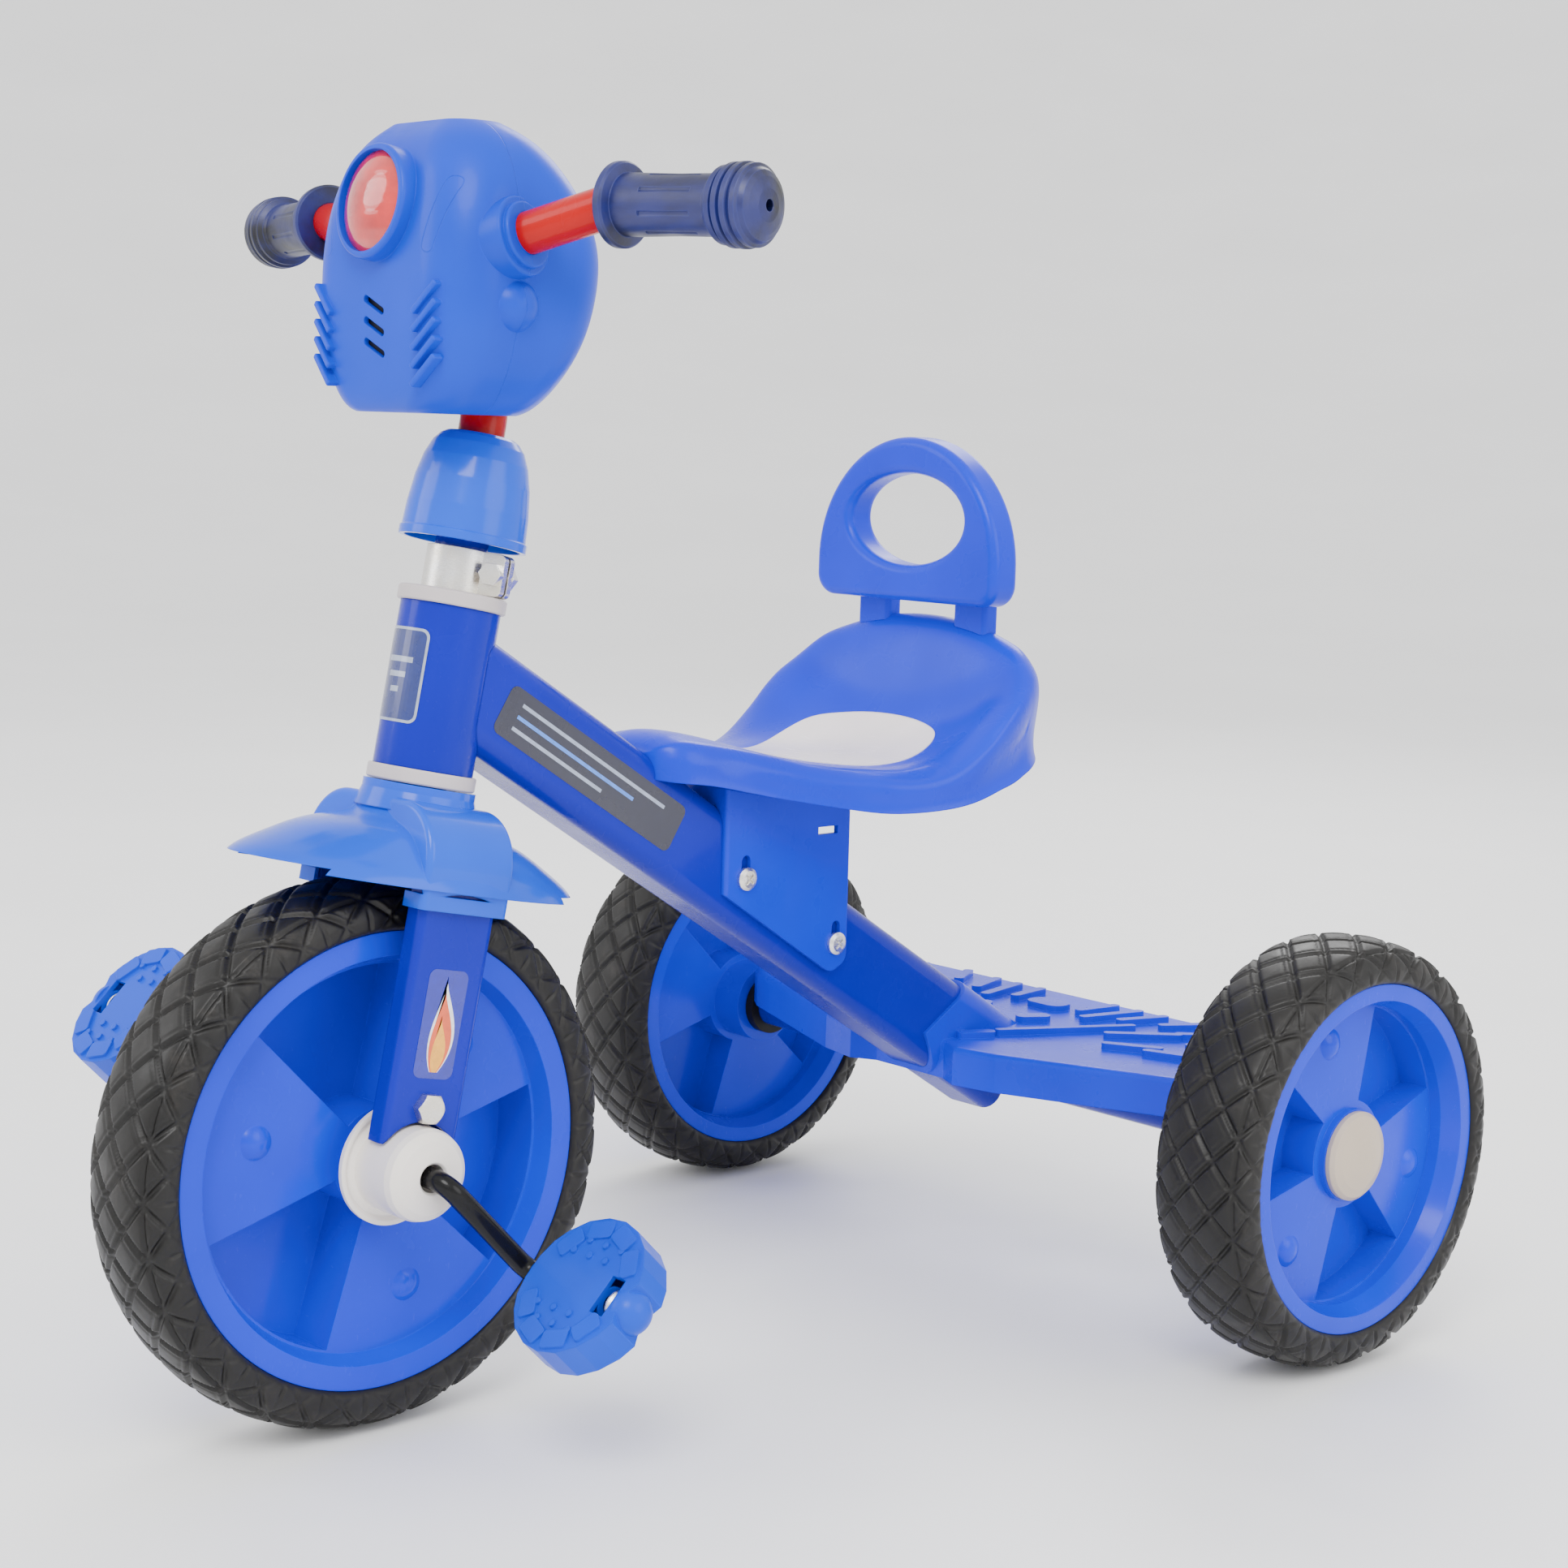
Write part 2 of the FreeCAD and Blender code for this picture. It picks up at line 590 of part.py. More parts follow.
def pedestal_solid(seat_shell):
    outline = [V(0, PEDESTAL_FRONT_Y, 330), V(0, PEDESTAL_FRONT_Y, 235), V(0, 70, 186.5),
               V(0, PEDESTAL_BACK_Y + 1, 192), V(0, PEDESTAL_BACK_Y, 330)]
    half = TUBE_W / 2 + PEDESTAL_T
    block = moved(polygon_face(outline).extrude(V(2 * half, 0, 0)), -half, 0, 0)
    rounded = [e for e in block.Edges if e.BoundBox.ZMax < 200 and e.BoundBox.XLength > half]
    block = block.makeFillet(7.0, rounded)
    upright = [e for e in block.Edges if e.BoundBox.YLength < 0.1 and e.BoundBox.ZLength > 50
               and e.BoundBox.YMax < 0]
    block = block.makeFillet(2.4, upright)
    room = Part.makeBox(TUBE_W, 120, 188, V(-TUBE_W / 2, PEDESTAL_FRONT_Y + PEDESTAL_T, 100))
    block = block.cut(room)
    block = block.cut(tube_prism(TUBE_W, TUBE_H, TUBE_CORNER, -80, 180))
    window = Part.makeBox(10, 14, 4, V(half - 5, 58, 261))
    block = block.cut(window)
    for y in SEAT_SCREW_Y:
        z = axis_z(y)
        slot = Part.Face(rounded_rectangle(6.1, 15.0, 3.04))
        slot.rotate(V(0, 0, 0), V(0, 0, 1), 90)
        slot.rotate(V(0, 0, 0), V(0, 1, 0), 90)
        slot.translate(V(-60, y, z + 4.4))
        block = block.cut(slot.extrude(V(120, 0, 0)))
    block = block.cut(seat_shell)
    return min(block.Solids, key=lambda solid: solid.BoundBox.ZMin)


def pan_screw(x_head, x_end, radius, head_r, head_h):
    screw = revolved_x([(x_end, 0), (x_end, radius), (x_head, radius), (x_head, head_r),
                        (x_head + head_h * 0.55, head_r), (x_head + head_h * 0.9, head_r * 0.72),
                        (x_head + head_h, head_r * 0.35), (x_head + head_h, 0)])
    for angle in (45, 135):
        blade = Part.makeBox(4, 1.2, 6.4, V(x_head + head_h - 1.6, -0.6, -3.2))
        screw = screw.cut(rotated(blade, V(1, 0, 0), angle))
    return screw


def hex_prism(across_flats, x0, x1):
    r = across_flats / math.sqrt(3)
    points = [V(x0, r * math.cos(math.radians(a)), r * math.sin(math.radians(a)))
              for a in range(0, 360, 60)]
    prism = polygon_face(points).extrude(V(x1 - x0, 0, 0))
    return prism


def seat_parts():
    outer = seat_outer()
    shell = outer.cut(seat_cavity())
    deep = seat_outer(-SEAT_INLAY_T)
    prism = inlay_prism()
    shell = shell.cut(prism.cut(deep))
    posts = [post_solid(side, POST_LOW_Z) for side in (-1, 1)]
    for post in posts:
        shell = shell.cut(post)
    shell = shell.cut(tube_prism(TUBE_W, TUBE_H, TUBE_CORNER, -80, 180))
    shell = max(shell.Solids, key=lambda solid: solid.Volume)
    export(shell, "seat_shell")
    inlay = prism.common(seat_outer(0.5)).cut(deep)
    inlay = max(inlay.Solids, key=lambda solid: solid.Volume)
    export(inlay, "seat_inlay")
    export(pedestal_solid(outer), "seat_pedestal")
    backrest = backrest_solid()
    for post in posts:
        backrest = backrest.fuse(post)
    export(backrest.removeSplitter(), "backrest")

    face_x = TUBE_W / 2 + PEDESTAL_T
    screws = []
    nuts = []
    for y in SEAT_SCREW_Y:
        z = axis_z(y)
        screws.append(moved(pan_screw(face_x, -face_x - 6.5, M6_R, M6_PAN_R, M6_PAN_H), 0, y, z))
        nut = hex_prism(M6_FLATS, -face_x - 5.0, -face_x).cut(x_cylinder(M6_R, -60, 0))
        nuts.append(moved(nut, 0, y, z))
    export(Part.makeCompound(screws), "seat_screws")
    export(Part.makeCompound(nuts), "seat_nuts")


# ---------------------------------------------------------------- rear step board
def board_outline(inset, low, high):
    half = BOARD_HALF - inset
    back = BOARD_BACK_Y - inset
    front = [(26.0, 157.0), (40.0, 149.5), (66.0, 155.0), (half - 12, 199.0), (half, 208.0)]
    right = [V(x, y + inset, low) for x, y in front]
    right += [V(half, back - 14, low), V(half - 14, back, low)]
    left = [V(-p.x, p.y, low) for p in reversed(right)]
    return polygon_face(right + left).extrude(V(0, 0, high - low))


def saddle_solid(grow):
    prism = tube_prism(TUBE_W + 2 * grow, TUBE_H + 2 * grow, TUBE_CORNER + grow, 130, 255)
    keep = polygon_face([V(-60, 145, 144), V(-60, 188, 171.5), V(-60, 196, 200), V(-60, 300, 200),
                         V(-60, 300, BOARD_LOW), V(-60, 157, BOARD_LOW)]).extrude(V(120, 0, 0))
    return prism.common(keep)


def relief_bar(x, y, length, width, angle, height):
    bar = Part.Face(rounded_rectangle(length, width, min(length, width) * 0.42))
    bar.rotate(V(0, 0, 0), V(0, 0, 1), angle)
    bar.translate(V(x, y, BOARD_TOP - 0.5))
    return bar.extrude(V(0, 0, height + 0.5))


def step_board_part():
    wall = BOARD_WALL
    tube = tube_prism(TUBE_W, TUBE_H, TUBE_CORNER, 100, 262)
    outer = board_outline(0, BOARD_LOW, BOARD_TOP)
    top_edges = [e for e in outer.Edges if e.BoundBox.ZMin > BOARD_TOP - 0.01]
    outer = outer.makeFillet(3.5, top_edges)
    outer = outer.fuse(saddle_solid(wall))
    bars = [(52, 228, 84, 5, 63), (27, 284, 32, 6, 82), (43, 278, 44, 6, 77), (61, 284, 34, 6, 72),
            (88, 252, 44, 6, 48), (104, 224, 34, 6, 30), (86, 290, 30, 6, 60), (112, 282, 40, 6, 48),
            (138, 262, 44, 6, 32), (128, 226, 30, 6, 20), (150, 292, 34, 6, 40), (158, 234, 30, 6, 24),
            (30, 178, 22, 8, 60), (20, 236, 20, 10, 60)]
    for x, y, length, width, angle in bars:
        outer = outer.fuse(relief_bar(x, y, length, width, angle, 3.6))
        outer = outer.fuse(relief_bar(-x, y, length, width, 180 - angle, 3.6))
    outer = outer.fuse(relief_bar(0, 272, 26, 17, 0, 3.6))
    room = board_outline(wall, BOARD_LOW - 1, BOARD_TOP - wall)
    ribs = []
    for x in (-150, -90, -40, 40, 90, 150):
        ribs.append(Part.makeBox(wall, 200, 30, V(x - wall / 2, 140, BOARD_LOW)))
    for rib in ribs:
        room = room.cut(rib)
    body = outer.cut(room).cut(tube)
    body = body.cut(axle_tube_solid(AXLE_TUBE_R, 400))
    body = max(body.Solids, key=lambda solid: solid.Volume)
    export(body.removeSplitter(), "step_board")


# ---------------------------------------------------------------- fork, mudguard, hubs
def fork_profile(half, top, low, bend):
    """Outline of an upside-down U in the XZ plane."""
    c = bend * (1 - math.sqrt(0.5))
    arc_r = Part.Arc(V(half, 0, top - bend), V(half - c, 0, top - c), V(half - bend, 0, top))
    arc_l = Part.Arc(V(bend - half, 0, top), V(c - half, 0, top - c), V(-half, 0, top - bend))
    edges = [Part.makeLine(V(half, 0, low), V(half, 0, top - bend)), arc_r.toShape(),
             Part.makeLine(V(half - bend, 0, top), V(bend - half, 0, top)), arc_l.toShape(),
             Part.makeLine(V(-half, 0, top - bend), V(-half, 0, low)),
             Part.makeLine(V(-half, 0, low), V(half, 0, low))]
    return Part.Face(Part.Wire(edges))


def arch_block(half, top, low, bend, width):
    block = fork_profile(half, top, low, bend).extrude(V(0, width, 0))
    return moved(block, 0, -width / 2, 0)


def fork_part():
    outer = arch_block(FORK_OUT_X, S_FORK_TOP, S_FORK_LOW, FORK_BEND_R, FORK_W)
    side_edges = [e for e in outer.Edges if e.BoundBox.YLength < 0.01 and e.BoundBox.ZMax > 20]
    outer = outer.makeFillet(4.0, side_edges)
    inner_half = FORK_OUT_X - FORK_T
    inner = arch_block(inner_half, S_FORK_TOP - FORK_T, S_FORK_LOW - 30, FORK_BEND_R - FORK_T,
                       FORK_W + 4)
    body = outer.cut(inner)
    hollow = arch_block(FORK_OUT_X - FORK_WALL, S_FORK_TOP - FORK_WALL, S_FORK_LOW - 20,
                        FORK_BEND_R - FORK_WALL, FORK_W - 2 * FORK_WALL)
    core = arch_block(inner_half + FORK_WALL, S_FORK_TOP - FORK_T + FORK_WALL, S_FORK_LOW - 30,
                      FORK_BEND_R - FORK_T + FORK_WALL, FORK_W)
    body = body.cut(hollow.cut(core))
    body = body.cut(x_cylinder(FORK_SADDLE_R, -80, 80))
    column = Part.makeCylinder(COLUMN_R, S_COLUMN_TOP - S_FORK_TOP + 6, V(0, 0, S_FORK_TOP - 6))
    body = body.fuse(column)
    bore = Part.makeCylinder(COLUMN_R - COLUMN_WALL, S_COLUMN_TOP, V(0, 0, S_FORK_TOP - FORK_T - 1))
    slot = Part.makeBox(2.0, 40, 30, V(-1, 0, S_COLUMN_TOP - 28))
    body = body.cut(bore).cut(slot)
    body = body.cut(x_cylinder(M8_R, -80, 80, 0, S_FORK_BOLT))
    export(to_steering(body.removeSplitter()), "fork")


def hat_solid(inset):
    """Lofted brim between the neck circle and the elliptical lower edge."""
    wires = []
    for s, half_depth, half_width in MUDGUARD_ROWS:
        ellipse = Part.Ellipse(V(0, 0, s - inset), half_depth - inset, half_width - inset)
        edge = ellipse.toShape()
        edge.rotate(V(0, 0, 0), V(0, 0, 1), 90)
        wires.append(Part.Wire(edge))
    return Part.makeLoft(wires, True, False)


def mudguard_part():
    gap = MUDGUARD_LEG_GAP
    wall = MUDGUARD_WALL
    strap = arch_block(FORK_OUT_X + gap + wall, S_FORK_TOP + wall, S_STRAP_LOW,
                       FORK_BEND_R + gap + wall, FORK_W + 2 * (gap + wall))
    strap_edges = [e for e in strap.Edges
                   if e.BoundBox.YLength < 0.01 and e.BoundBox.ZMax > S_STRAP_LOW + 6]
    strap = strap.makeFillet(3.0, strap_edges)
    leg_room = arch_block(FORK_OUT_X + gap, S_FORK_TOP, S_STRAP_LOW - 20, FORK_BEND_R + gap,
                          FORK_W + 2 * gap)
    neck_top = S_HEAD_LOW - COLLAR_H - BODY_GAP
    neck = revolved_z([(0, S_FORK_TOP - 4), (NECK_R + 2.5, S_FORK_TOP - 4), (NECK_R, S_FORK_TOP + 5),
                       (NECK_R, neck_top), (0, neck_top)])
    body = hat_solid(0.0).fuse([strap, neck])
    body = body.cut(hat_solid(wall)).cut(leg_room)
    between = 2 * (FORK_OUT_X - FORK_T)
    tyre_room = Part.makeBox(between, 200, 40, V(-between / 2, -100, S_STRAP_LOW - 28))
    body = body.cut(tyre_room)
    body = body.cut(Part.makeCylinder(COLUMN_R, 200, V(0, 0, S_STRAP_LOW - 60)))
    body = max(body.Solids, key=lambda solid: solid.Volume)
    export(to_steering(body), "mudguard")


def hub_housing_parts():
    x0 = HUB_FLANGE_X
    x1 = x0 + HUB_FLANGE_T
    bore = CRANK_ROD_R + RUNNING_GAP
    drum = revolved_x([(x0, bore), (x0, HUB_FLANGE_R - 1.5), (x0 + 1.5, HUB_FLANGE_R),
                       (x1 - 1, HUB_FLANGE_R), (x1 - 1, HUB_FLANGE_R - 2), (x1 - 2.6, HUB_FLANGE_R - 4),
                       (x1 - 1, HUB_DRUM_R), (HUB_DRUM_END - 8, HUB_DRUM_R),
                       (HUB_DRUM_END - 4.6, HUB_DRUM_R - 1.0), (HUB_DRUM_END - 1.6, HUB_DRUM_R - 4.5),
                       (HUB_DRUM_END - 0.4, HUB_DRUM_R - 10), (HUB_DRUM_END, HUB_MOUTH_R + 1),
                       (HUB_DRUM_END - 1, HUB_MOUTH_R), (HUB_DRUM_END - 9, HUB_MOUTH_R),
                       (HUB_DRUM_END - 9, bore)])
    inner_x = FORK_OUT_X - FORK_T
    tab = Part.makeBox(inner_x - x1 + 1, HUB_TAB_W, HUB_TAB_TOP, V(x1 - 1, -HUB_TAB_W / 2, 0))
    tab = tab.makeFillet(6.0, [e for e in tab.Edges if e.BoundBox.ZMin > 10 and e.BoundBox.XLength > 1])
    spacer = tab.cut(x_cylinder(HUB_DRUM_R - 1, 0, 80))
    body = drum.fuse(spacer)
    body = body.cut(x_cylinder(M8_R, 0, 80, 0, S_FORK_BOLT))
    bolt = hex_prism(M8_FLATS, FORK_OUT_X, FORK_OUT_X + M8_HEAD_H)
    cone = revolved_x([(FORK_OUT_X, 0), (FORK_OUT_X, 7.6), (FORK_OUT_X + 4.4, 7.6),
                       (FORK_OUT_X + 5.3, 6.4), (FORK_OUT_X + 5.3, 0)])
    bolt = bolt.common(cone).fuse(x_cylinder(M8_R, x1 - 5.5, FORK_OUT_X))
    nut = hex_prism(M8_FLATS, x1 - 5.5, x1 - 1).cut(x_cylinder(M8_R, 0, 80))
    nut_room = hex_prism(M8_FLATS, x1 - 6.5, x1 - 1)
    body = body.cut(moved(nut_room, 0, 0, S_FORK_BOLT))
    body = max(body.Solids, key=lambda solid: solid.Volume)
    bolt = to_steering(moved(bolt, 0, 0, S_FORK_BOLT))
    nut = to_steering(moved(nut, 0, 0, S_FORK_BOLT))
    housing = to_steering(body)
    export(housing, "hub_housing_left")
    export(mirrored_x(housing), "hub_housing_right")
    export(Part.makeCompound([bolt, mirrored_x(bolt)]), "fork_bolts")
    export(Part.makeCompound([nut, mirrored_x(nut)]), "fork_nuts")


# ---------------------------------------------------------------- pedals
def pedal_outline(inset, z0, z1):
    """Two rounded lobes joined at the spindle, drawn in the XY plane."""
    length = PEDAL_OUT_X - PEDAL_IN_X
    mid = (PEDAL_OUT_X + PEDAL_IN_X) / 2
    half = PEDAL_WIDTH / 2 - inset
    a = length / 2 - inset
    points = []
    shape = [(-1.0, 0.17), (-0.93, 0.42), (-0.80, 0.62), (-0.56, 0.84), (-0.25, 0.97), (0.08, 1.0),
             (0.40, 0.93), (0.68, 0.76), (0.90, 0.52), (1.0, 0.30), (0.93, 0.16)]
    upper = [V(mid + a * u, half * v, z0) for u, v in shape]
    lower = [V(mid + a * u, -half * v, z0) for u, v in reversed(shape)]
    return polygon_face(upper + lower).extrude(V(0, 0, z1 - z0))


def pedal_pads(z0, z1):
    mid = (PEDAL_OUT_X + PEDAL_IN_X) / 2
    pads = []
    for side in (-1, 1):
        for index in range(4):
            angle = math.radians(side * (36 + index * 36))
            x = mid + 1 + 25.5 * math.cos(angle)
            y = 28.5 * math.sin(angle)
            turn = math.degrees(math.atan2(28.5 * math.cos(angle), -25.5 * math.sin(angle)))
            pad = Part.Face(rounded_rectangle(14.0, 9.0, 2.0))
            pad.rotate(V(0, 0, 0), V(0, 0, 1), turn)
            pad.translate(V(x, y, z0))
            pads.append(pad.extrude(V(0, 0, z1 - z0)))
    return pads


def pedal_studs(z0, z1):
    studs = []
    for side in (-1, 1):
        for row, (offset, count) in enumerate(((14.0, 3), (21.0, 3))):
            for index in range(count):
                x = (PEDAL_OUT_X + PEDAL_IN_X) / 2 + (index - 1) * 11 + row * 5.5 - 4
                studs.append(Part.makeCylinder(1.7, z1 - z0, V(x, side * offset, z0)))
    return studs


def pedal_body():
    half = PEDAL_DEPTH / 2
    outline = pedal_outline(0, -half, half)
    room = pedal_outline(2.2, -half + PEDAL_PLATE_T, half - PEDAL_PLATE_T)
    shell = outline.cut(room)
    barrel = x_cylinder(PEDAL_BARREL_R, PEDAL_IN_X - 2.0, PEDAL_OUT_X - 2)
    cap = Part.makeSphere(11.0, V(PEDAL_OUT_X - 6, 0, 0))
    keep = Part.makeBox(20, 40, 40, V(PEDAL_OUT_X - 6, -20, -20))
    shell = shell.fuse([barrel, cap.common(keep)])
    extras = pedal_pads(half - 0.5, half + 1.6) + pedal_pads(-half - 1.6, 0.5 - half)
    extras += pedal_studs(half - 0.5, half + 1.4) + pedal_studs(-half - 1.4, 0.5 - half)
    shell = shell.fuse(extras)
    bore = x_cylinder(CRANK_ROD_R + RUNNING_GAP, PEDAL_IN_X - 5, CRANK_END_X + 0.5)
    window = Part.makeBox(9.0, 19.0, 60, V(PEDAL_OUT_X - 17, -9.5, -30))
    shell = shell.cut(bore).cut(window)
    return shell.removeSplitter()


def pedal_parts():
    dy, dz = crank_offset()
    body = rotated(pedal_body(), V(1, 0, 0), PEDAL_TILT)
    left = moved(body, 0, FRONT_Y + dy, FRONT_TYRE_R + dz)
    right = moved(mirrored_x(body), 0, FRONT_Y - dy, FRONT_TYRE_R - dz)
    export(left, "pedal_left")
    export(right, "pedal_right")
    x0 = PEDAL_OUT_X - 13.0
    nut = revolved_x([(x0, CRANK_ROD_R), (x0, 8.0), (x0 + 1.0, 8.0), (x0 + 3.4, 6.4), (x0 + 3.4, CRANK_ROD_R)])
    export(moved(nut, 0, FRONT_Y + dy, FRONT_TYRE_R + dz), "pedal_push_nut_left")
    export(moved(mirrored_x(nut), 0, FRONT_Y - dy, FRONT_TYRE_R - dz), "pedal_push_nut_right")


# ---------------------------------------------------------------- handlebar and stem
def stem_points():
    tilt = math.radians(HEAD_TILT)
    up = V(0, math.sin(tilt), math.cos(tilt))
    base = V(0, FRONT_Y, FRONT_TYRE_R)
    return [base + up * 232.0, base + up * 354.0, V(0, BAR_MID[0], BAR_MID[1])]


def bar_points():
    grip_in = V(*GRIP_IN)
    grip_end = V(*GRIP_END)
    mid = V(BAR_MID_HALF, BAR_MID[0], BAR_MID[1])
    right = [grip_end, grip_in - (grip_end - grip_in).normalize() * 5.0, mid]
    left = [V(-p.x, p.y, p.z) for p in reversed(right)]
    return right + left


def handlebar_solid(inset=0.0):
    bar = swept_rod(bar_points(), 24.0, BAR_R - inset)
    stem = swept_rod(stem_points(), 30.0, STEM_R - inset)
    return bar.fuse(stem)


def grip_solid():
    start = V(*GRIP_IN)
    end = V(*GRIP_END)
    length = (end - start).Length
    ball = length
    profile = [(-2.4, BAR_R), (-2.4, 17.6), (-1.4, 18.5), (1.4, 18.5), (2.4, 17.6), (3.4, 13.6),
               (14.0, 13.4), (32.0, 13.0), (ball - 17, 13.2), (ball - 14.5, 14.0)]
    for index in range(4):
        x = ball - 14.0 + index * 4.6
        crest = (16.6, 17.8, 18.0, 17.4)[index]
        profile += [(x, crest - 1.6), (x + 0.8, crest), (x + 3.2, crest), (x + 4.0, crest - 1.6)]
    profile += [(ball + 6.0, 14.6), (ball + 7.2, 12.0), (ball + 8.6, 7.0), (ball + 9.0, 2.6),
                (ball + 5.0, 2.6), (ball + 5.0, 0), (ball, 0), (ball, BAR_R)]
    body = revolved_x(profile)
    grooves = []
    for index in range(8):
        groove = x_cylinder(1.6, 18.0, ball - 24.0, 0, 14.2)
        grooves.append(rotated(groove, V(1, 0, 0), index * 45 + 20))
    body = body.cut(grooves)
    direction = (end - start).normalize()
    turn = FreeCAD.Rotation(V(1, 0, 0), direction)
    body.Placement = FreeCAD.Placement(start, turn)
    return body


def stem_cover_solid():
    """Open bell over the top of the stem clamp."""
    s0 = S_BELL_LOW
    outer = [(30.0, s0), (30.0, s0 + 4), (29.2, s0 + 4.6), (28.6, s0 + 16), (27.0, s0 + 29),
             (24.6, s0 + 39), (21.6, s0 + 46), (18.6, s0 + 49.6), (16.4, s0 + 51)]
    inner = [(14.4, s0 + 49), (16.8, s0 + 47.6), (19.8, s0 + 44.4), (22.8, s0 + 38),
             (25.1, s0 + 28), (26.7, s0 + 15), (27.4, s0)]
    top = [(STEM_R, s0 + 51), (STEM_R, s0 + 49)]
    return revolved_z(outer + top + inner)


def stem_clamp_parts():
    low = S_HEAD_TOP + COLLAR_H + BODY_GAP
    high = low + CLAMP_H
    ring = Part.makeCylinder(CLAMP_R, high - low, V(0, 0, low))
    ears = Part.makeBox(11.0, 18.0, high - low, V(-5.5, 8.0, low))
    ears = ears.makeFillet(3.0, [e for e in ears.Edges if e.BoundBox.ZLength < 0.1 and
                                 e.BoundBox.XLength > 5 and e.BoundBox.YMin > 22])
    body = ring.fuse(ears)
    body = body.cut(Part.makeCylinder(COLUMN_R, 80, V(0, 0, low - 20)))
    body = body.cut(Part.makeBox(2.4, 40, 40, V(-1.2, 5, low - 10)))
    s_mid = (low + high) / 2
    body = body.cut(x_cylinder(M6_R, -40, 40, CLAMP_BOLT_Y, s_mid))
    bolt = hex_prism(M6_FLATS, 5.5, 9.5).fuse(x_cylinder(M6_R, -13.5, 5.5))
    nut = hex_prism(M6_FLATS, -10.5, -5.5).cut(x_cylinder(M6_R, -40, 0))
    pieces = (body, moved(bolt, 0, CLAMP_BOLT_Y, s_mid), moved(nut, 0, CLAMP_BOLT_Y, s_mid))
    for piece, node in zip(pieces, ("stem_clamp", "stem_clamp_bolt", "stem_clamp_nut")):
        export(to_steering(rotated(piece.removeSplitter(), V(0, 0, 1), -CLAMP_TURN)), node)


# ---------------------------------------------------------------- head housing
# z, half width, front y, rear y, corner radius
HOUSING_STATIONS = [
    (471.5, 34.0, -200.0, -142.0, 18.0), (476.0, 42.0, -203.0, -136.0, 20.0),
    (486.0, 50.0, -204.5, -129.0, 22.0), (502.0, 57.0, -205.5, -121.0, 24.0),
    (525.0, 60.5, -206.0, -114.0, 26.0), (548.0, 60.5, -205.0, -113.0, 27.0),
    (568.0, 58.0, -202.0, -120.0, 28.0), (584.0, 52.0, -197.0, -130.0, 27.0),
    (595.0, 43.0, -190.0, -141.0, 23.0), (602.0, 30.0, -182.0, -153.0, 13.0)]


def housing_solid(inset):
    wires = []
    for z, half, front, rear, corner in HOUSING_STATIONS:
        level = z
        if z < 480:
            level = z + inset
        if z > 560:
            level = z - inset
        wire = rounded_rectangle(2 * (half - inset), rear - front - 2 * inset, corner - inset)
        wire.translate(V(0, (front + rear) / 2, level))
        wires.append(wire)
    ruled_inside = inset > 0
    return Part.makeLoft(wires, True, ruled_inside)


def side_collars():
    """Round bosses where the handlebar leaves the housing."""
    collars = []
    outward = V(GRIP_IN[0] - BAR_MID_HALF, GRIP_IN[1] - BAR_MID[0], GRIP_IN[2] - BAR_MID[1]).normalize()
    start = V(BAR_MID_HALF, BAR_MID[0], BAR_MID[1])
    for radius, reach in ((18.0, 16.5), (15.0, 19.0)):
        collar = Part.makeCylinder(radius, reach, start, outward)
        edge = [e for e in collar.Edges if e.Closed and e.BoundBox.XMax > start.x + reach * 0.8]
        collars.append(collar.makeFillet(1.2, edge[:1]))
    lobe = Part.makeSphere(13.0, V(53.0, -170.0, 520.0))
    collars.append(lobe)
    return collars + [mirrored_x(c) for c in collars]


def lens_axis():
    return V(0, -math.cos(math.radians(8.0)), math.sin(math.radians(8.0)))


